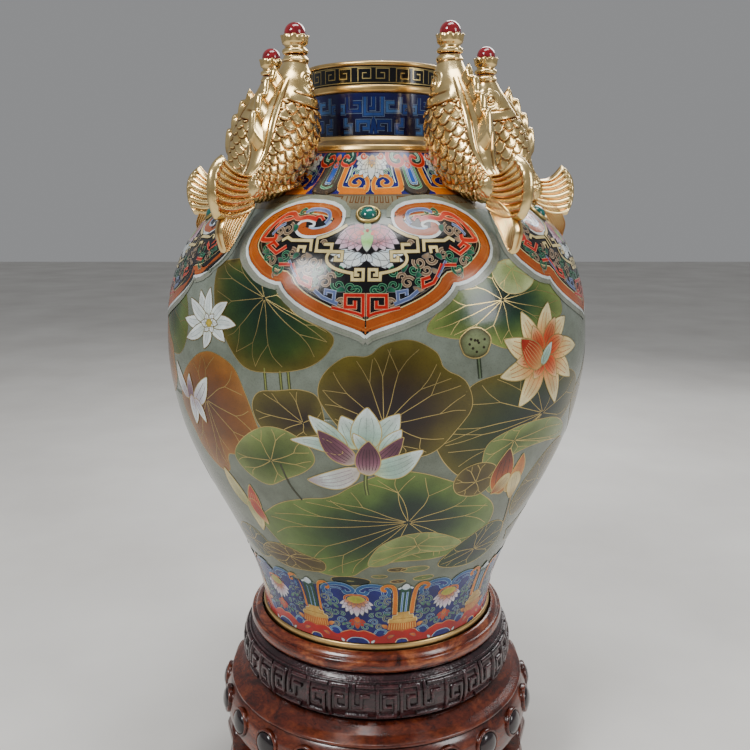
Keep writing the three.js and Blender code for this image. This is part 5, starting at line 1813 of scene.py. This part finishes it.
STAND_RINGS = [
    # piece, node, material, rounding, outline in (radius, height above the ground)
    ("stand_rim", "stand_top_ring", BURL_WOOD, 0.9, [
        (110.5, 162), (118.5, 162), (120.4, 164.6), (121, 168.6), (120, 172.4), (118.4, 173.4),
        (117.3, 172.9), (116.6, 174.4), (115, 176.4), (112.6, 177.9), (110.5, 178.2)]),
    ("stand_seat", "stand_seat_board", RED_WOOD, 0.8,
     [(0.5, 162), (109.6, 162), (109.6, 169.7), (0.5, 169.7)]),
    ("stand_waist", "stand_waist_ring", CARVED_WOOD, 1.6, [
        (96, 120.3), (119, 120.3), *WAIST, (114, 161.7), (96, 161.7)]),
    ("stand_shelf_board", "stand_shelf", RED_WOOD, 1.2, [
        (98, 106.3), (141.5, 106.3), (141.5, 108.8), (139.4, 110), (133, 112.6), (127.4, 116.4), (122, 120),
        (98, 120)]),
    ("stand_base", "stand_base_ring", RED_WOOD, 1.4, [
        (116, 6.3), (143, 6.3), (147, 9), (147, 13), (144.5, 16.5), (144, 22), (116, 22)]),
    ("stand_apron_ring", "stand_apron", RED_WOOD, 2.0, [
        (124, 66), (142, 66), (145.5, 70), (147, 77), (147.5, 86), (146, 95), (142.5, 102), (139.5, 106),
        (124, 106)]),
]
FRET_REPEATS = 13
FRET_STRETCH = 1.42          # mm for each unit across in FRET_BARS
FRET_BARS = [
    # one repeat of the waist's key fret: units across, and a share of its height
    [(0.5, 1), (0.5, 0), (11, 0), (11, 0.7), (4.4, 0.7), (4.4, 0.34), (7.8, 0.34)],
    [(14.6, 0), (14.6, 1), (25, 1), (25, 0.3), (18.6, 0.3), (18.6, 0.66), (21.8, 0.66)],
    [(0.5, 1), (11.6, 1)],
    [(25, 0), (36, 0)],
    [(28.8, 1), (28.8, 0.34), (33.6, 0.34), (33.6, 0.72), (37.4, 0.72)],
    [(31.6, 1), (40, 1)],
]
BOSSES = 22
BOSS_RADIUS, BOSS_HEIGHT = 147.5, 90
BOSS_TILT = 0.12             # how far each boss looks up, radians


def build_stand_rings():
    """The turned parts: burl rim, seat, waist, sloping shelf, base and bulging apron."""
    for piece, node, material, rounding, outline in STAND_RINGS:
        lathe(piece, node, turned_outline(outline, rounding), material, "stand")


def build_waist_carving():
    """Squared key frets standing out of the waist, between two plain lines."""
    place = on_outline(WAIST)
    scale = np.radians(place.radius)
    surface = Surface()
    low, high = 127 + FLOOR, 153 + FLOOR
    for k in range(FRET_REPEATS):
        start = k * 360 / FRET_REPEATS
        for shape in FRET_BARS:
            path = [(start + x * FRET_STRETCH / scale, low + y * (high - low)) for x, y in shape]
            raised_bar(surface, place, path, 3.4, 2.0)
    for height in (123.4 + FLOOR, 156.4 + FLOOR):
        raised_bar(surface, place, [(-180, height), (0, height), (180, height)], 1.6, 0.9)
    surface.build("stand_waist_frets", CARVED_WOOD, "stand_waist_ring", "stand")


def build_bosses():
    """Round glossy bosses along the apron, each in a carved collar."""
    domes, collars = Surface(), Surface()
    dome = [(10.4 * math.cos(a), 2.2 + 4.2 * math.sin(a)) for a in np.linspace(0, math.pi / 2 - 0.02, 10)]
    collar = [(10.2, 1.0), (10.6, 2.9), (11.6, 3.5), (12.6, 3.0), (13.0, 1.6), (12.8, -1)]
    for i in range(BOSSES):
        azimuth = math.radians((i + 0.5) * 360 / BOSSES)
        level = np.array([math.sin(azimuth), -math.cos(azimuth), 0])
        across = np.array([math.cos(azimuth), math.sin(azimuth), 0])
        out = level * math.cos(BOSS_TILT) + np.array([0, 0, math.sin(BOSS_TILT)])
        axes = np.array([across, np.cross(out, across), out])
        middle = level * (BOSS_RADIUS - 2.2) + (0, 0, BOSS_HEIGHT + FLOOR)
        for surface, outline in ((domes, dome), (collars, collar)):
            rings = middle + turned_rings(outline, axes, 36)
            surface.add(rings * MM + (0, 0, FOOT), np.array(WHITE, float), wrap=True)
    domes.build("stand_bosses", BOSS_WOOD, "stand_apron", "stand")
    collars.build("stand_boss_collars", RED_WOOD, "stand_apron", "stand")


def build_legs():
    """Five feet: each leg node's block with its edges softened."""
    for place in ("front", "right", "back_right", "back_left", "left"):
        node = f"stand_leg_{place}"
        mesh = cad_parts[node].data.copy()
        mesh.materials.clear()
        mesh.materials.append(RED_WOOD)
        work = bmesh.new()
        work.from_mesh(mesh)
        bmesh.ops.remove_doubles(work, verts=work.verts, dist=1e-6)
        bmesh.ops.dissolve_limit(work, angle_limit=0.02, verts=work.verts, edges=work.edges)
        sharp = [e for e in work.edges if e.calc_face_angle(0) > 0.3]
        bmesh.ops.bevel(work, geom=sharp, offset=0.0014, segments=3, affect="EDGES", clamp_overlap=True)
        work.to_mesh(mesh)
        work.free()
        finish_piece(f"stand_foot_{place}", mesh, "leg_wood", "stand", [node])




# ---------------------------------------------------------------- stage, lights and camera

def build_stage():
    """A wide pale floor."""
    m = Material("backdrop_paper", rough=0.8)
    m.drive("Base Color", m.ramp(m.noise(3, 4), 0.3, (206, 203, 198), 0.7, (222, 220, 215)))
    m.bump(m.noise(120, 4), 0.05, 0.001)
    bpy.ops.mesh.primitive_plane_add(size=14, location=(0, 0, 0))
    floor = bpy.context.object
    floor.name = "floor"
    floor.data.materials.append(m.mat)


LIGHTS = [
    # name, place in m, size in m, power in W: all point at the middle of the jar
    ("key", (-1.1, -1.3, 1.7), (0.55, 0.55), 26),
    ("fill", (1.4, -1.0, 1.1), (0.5, 0.8), 12),
    ("top", (0.1, -0.2, 2.0), (1.0, 0.5), 16),
    ("rim", (0.6, 1.4, 1.5), (1.2, 0.7), 22),
]
LIT_POINT = (0, 0, 0.42)
CAMERA_LENS = 40.37
CAMERA_BACK = 0.763          # how far the camera stands in front of the jar's axis, m
CAMERA_ABOVE = 0.3838        # its height above the jar's foot, m
CAMERA_PITCH = 11.75         # how far it looks down, degrees


def build_lights():
    """Four soft rectangular lights and a pale sky."""
    for name, place, size, power in LIGHTS:
        light = bpy.data.lights.new(name, "AREA")
        light.shape = "RECTANGLE"
        light.size, light.size_y = size
        light.energy = power
        lamp = bpy.data.objects.new(name, light)
        lamp.location = place
        lamp.rotation_euler = (Vector(LIT_POINT) - Vector(place)).to_track_quat("-Z", "Y").to_euler()
        bpy.context.scene.collection.objects.link(lamp)
    world = bpy.data.worlds.new("studio")
    world.use_nodes = True
    background = world.node_tree.nodes["Background"]
    background.inputs["Color"].default_value = (0.82, 0.83, 0.85, 1)
    background.inputs["Strength"].default_value = 0.34
    bpy.context.scene.world = world


def build_camera():
    """The main view: close to the jar, a little above it and pitched down."""
    data = bpy.data.cameras.new("main")
    data.lens = CAMERA_LENS
    data.sensor_width = 36
    camera = bpy.data.objects.new("main", data)
    camera.location = (-0.0014, -CAMERA_BACK, FOOT + CAMERA_ABOVE)
    camera.rotation_euler = (math.radians(90 - CAMERA_PITCH), 0, 0)
    bpy.context.scene.collection.objects.link(camera)
    bpy.context.scene.camera = camera


def dress_cad_nodes():
    """CAD pieces that keep their own shape get their real material."""
    for name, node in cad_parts.items():
        if name.startswith("stand"):
            chosen = RED_WOOD
        elif name.startswith("carp_screw"):
            chosen = STEEL
        elif name.startswith("cabochon"):
            chosen = GREEN_STONE
        elif name.startswith("bead_") and "setting" not in name:
            chosen = RED_GLASS
        elif name in ("seam_strip", "base_plate"):
            chosen = COPPER
        else:
            chosen = GILT
        node.data.materials.clear()
        node.data.materials.append(chosen)


dress_cad_nodes()
build_walls()
build_rings()
build_mouth_frets()
build_neck_decoration()
build_scene()
build_lappets()
build_shoulder_band()
build_base_band()
build_bezels()
build_carp()
build_stand_rings()
build_waist_carving()
build_bosses()
build_legs()
build_stage()
build_lights()
build_camera()
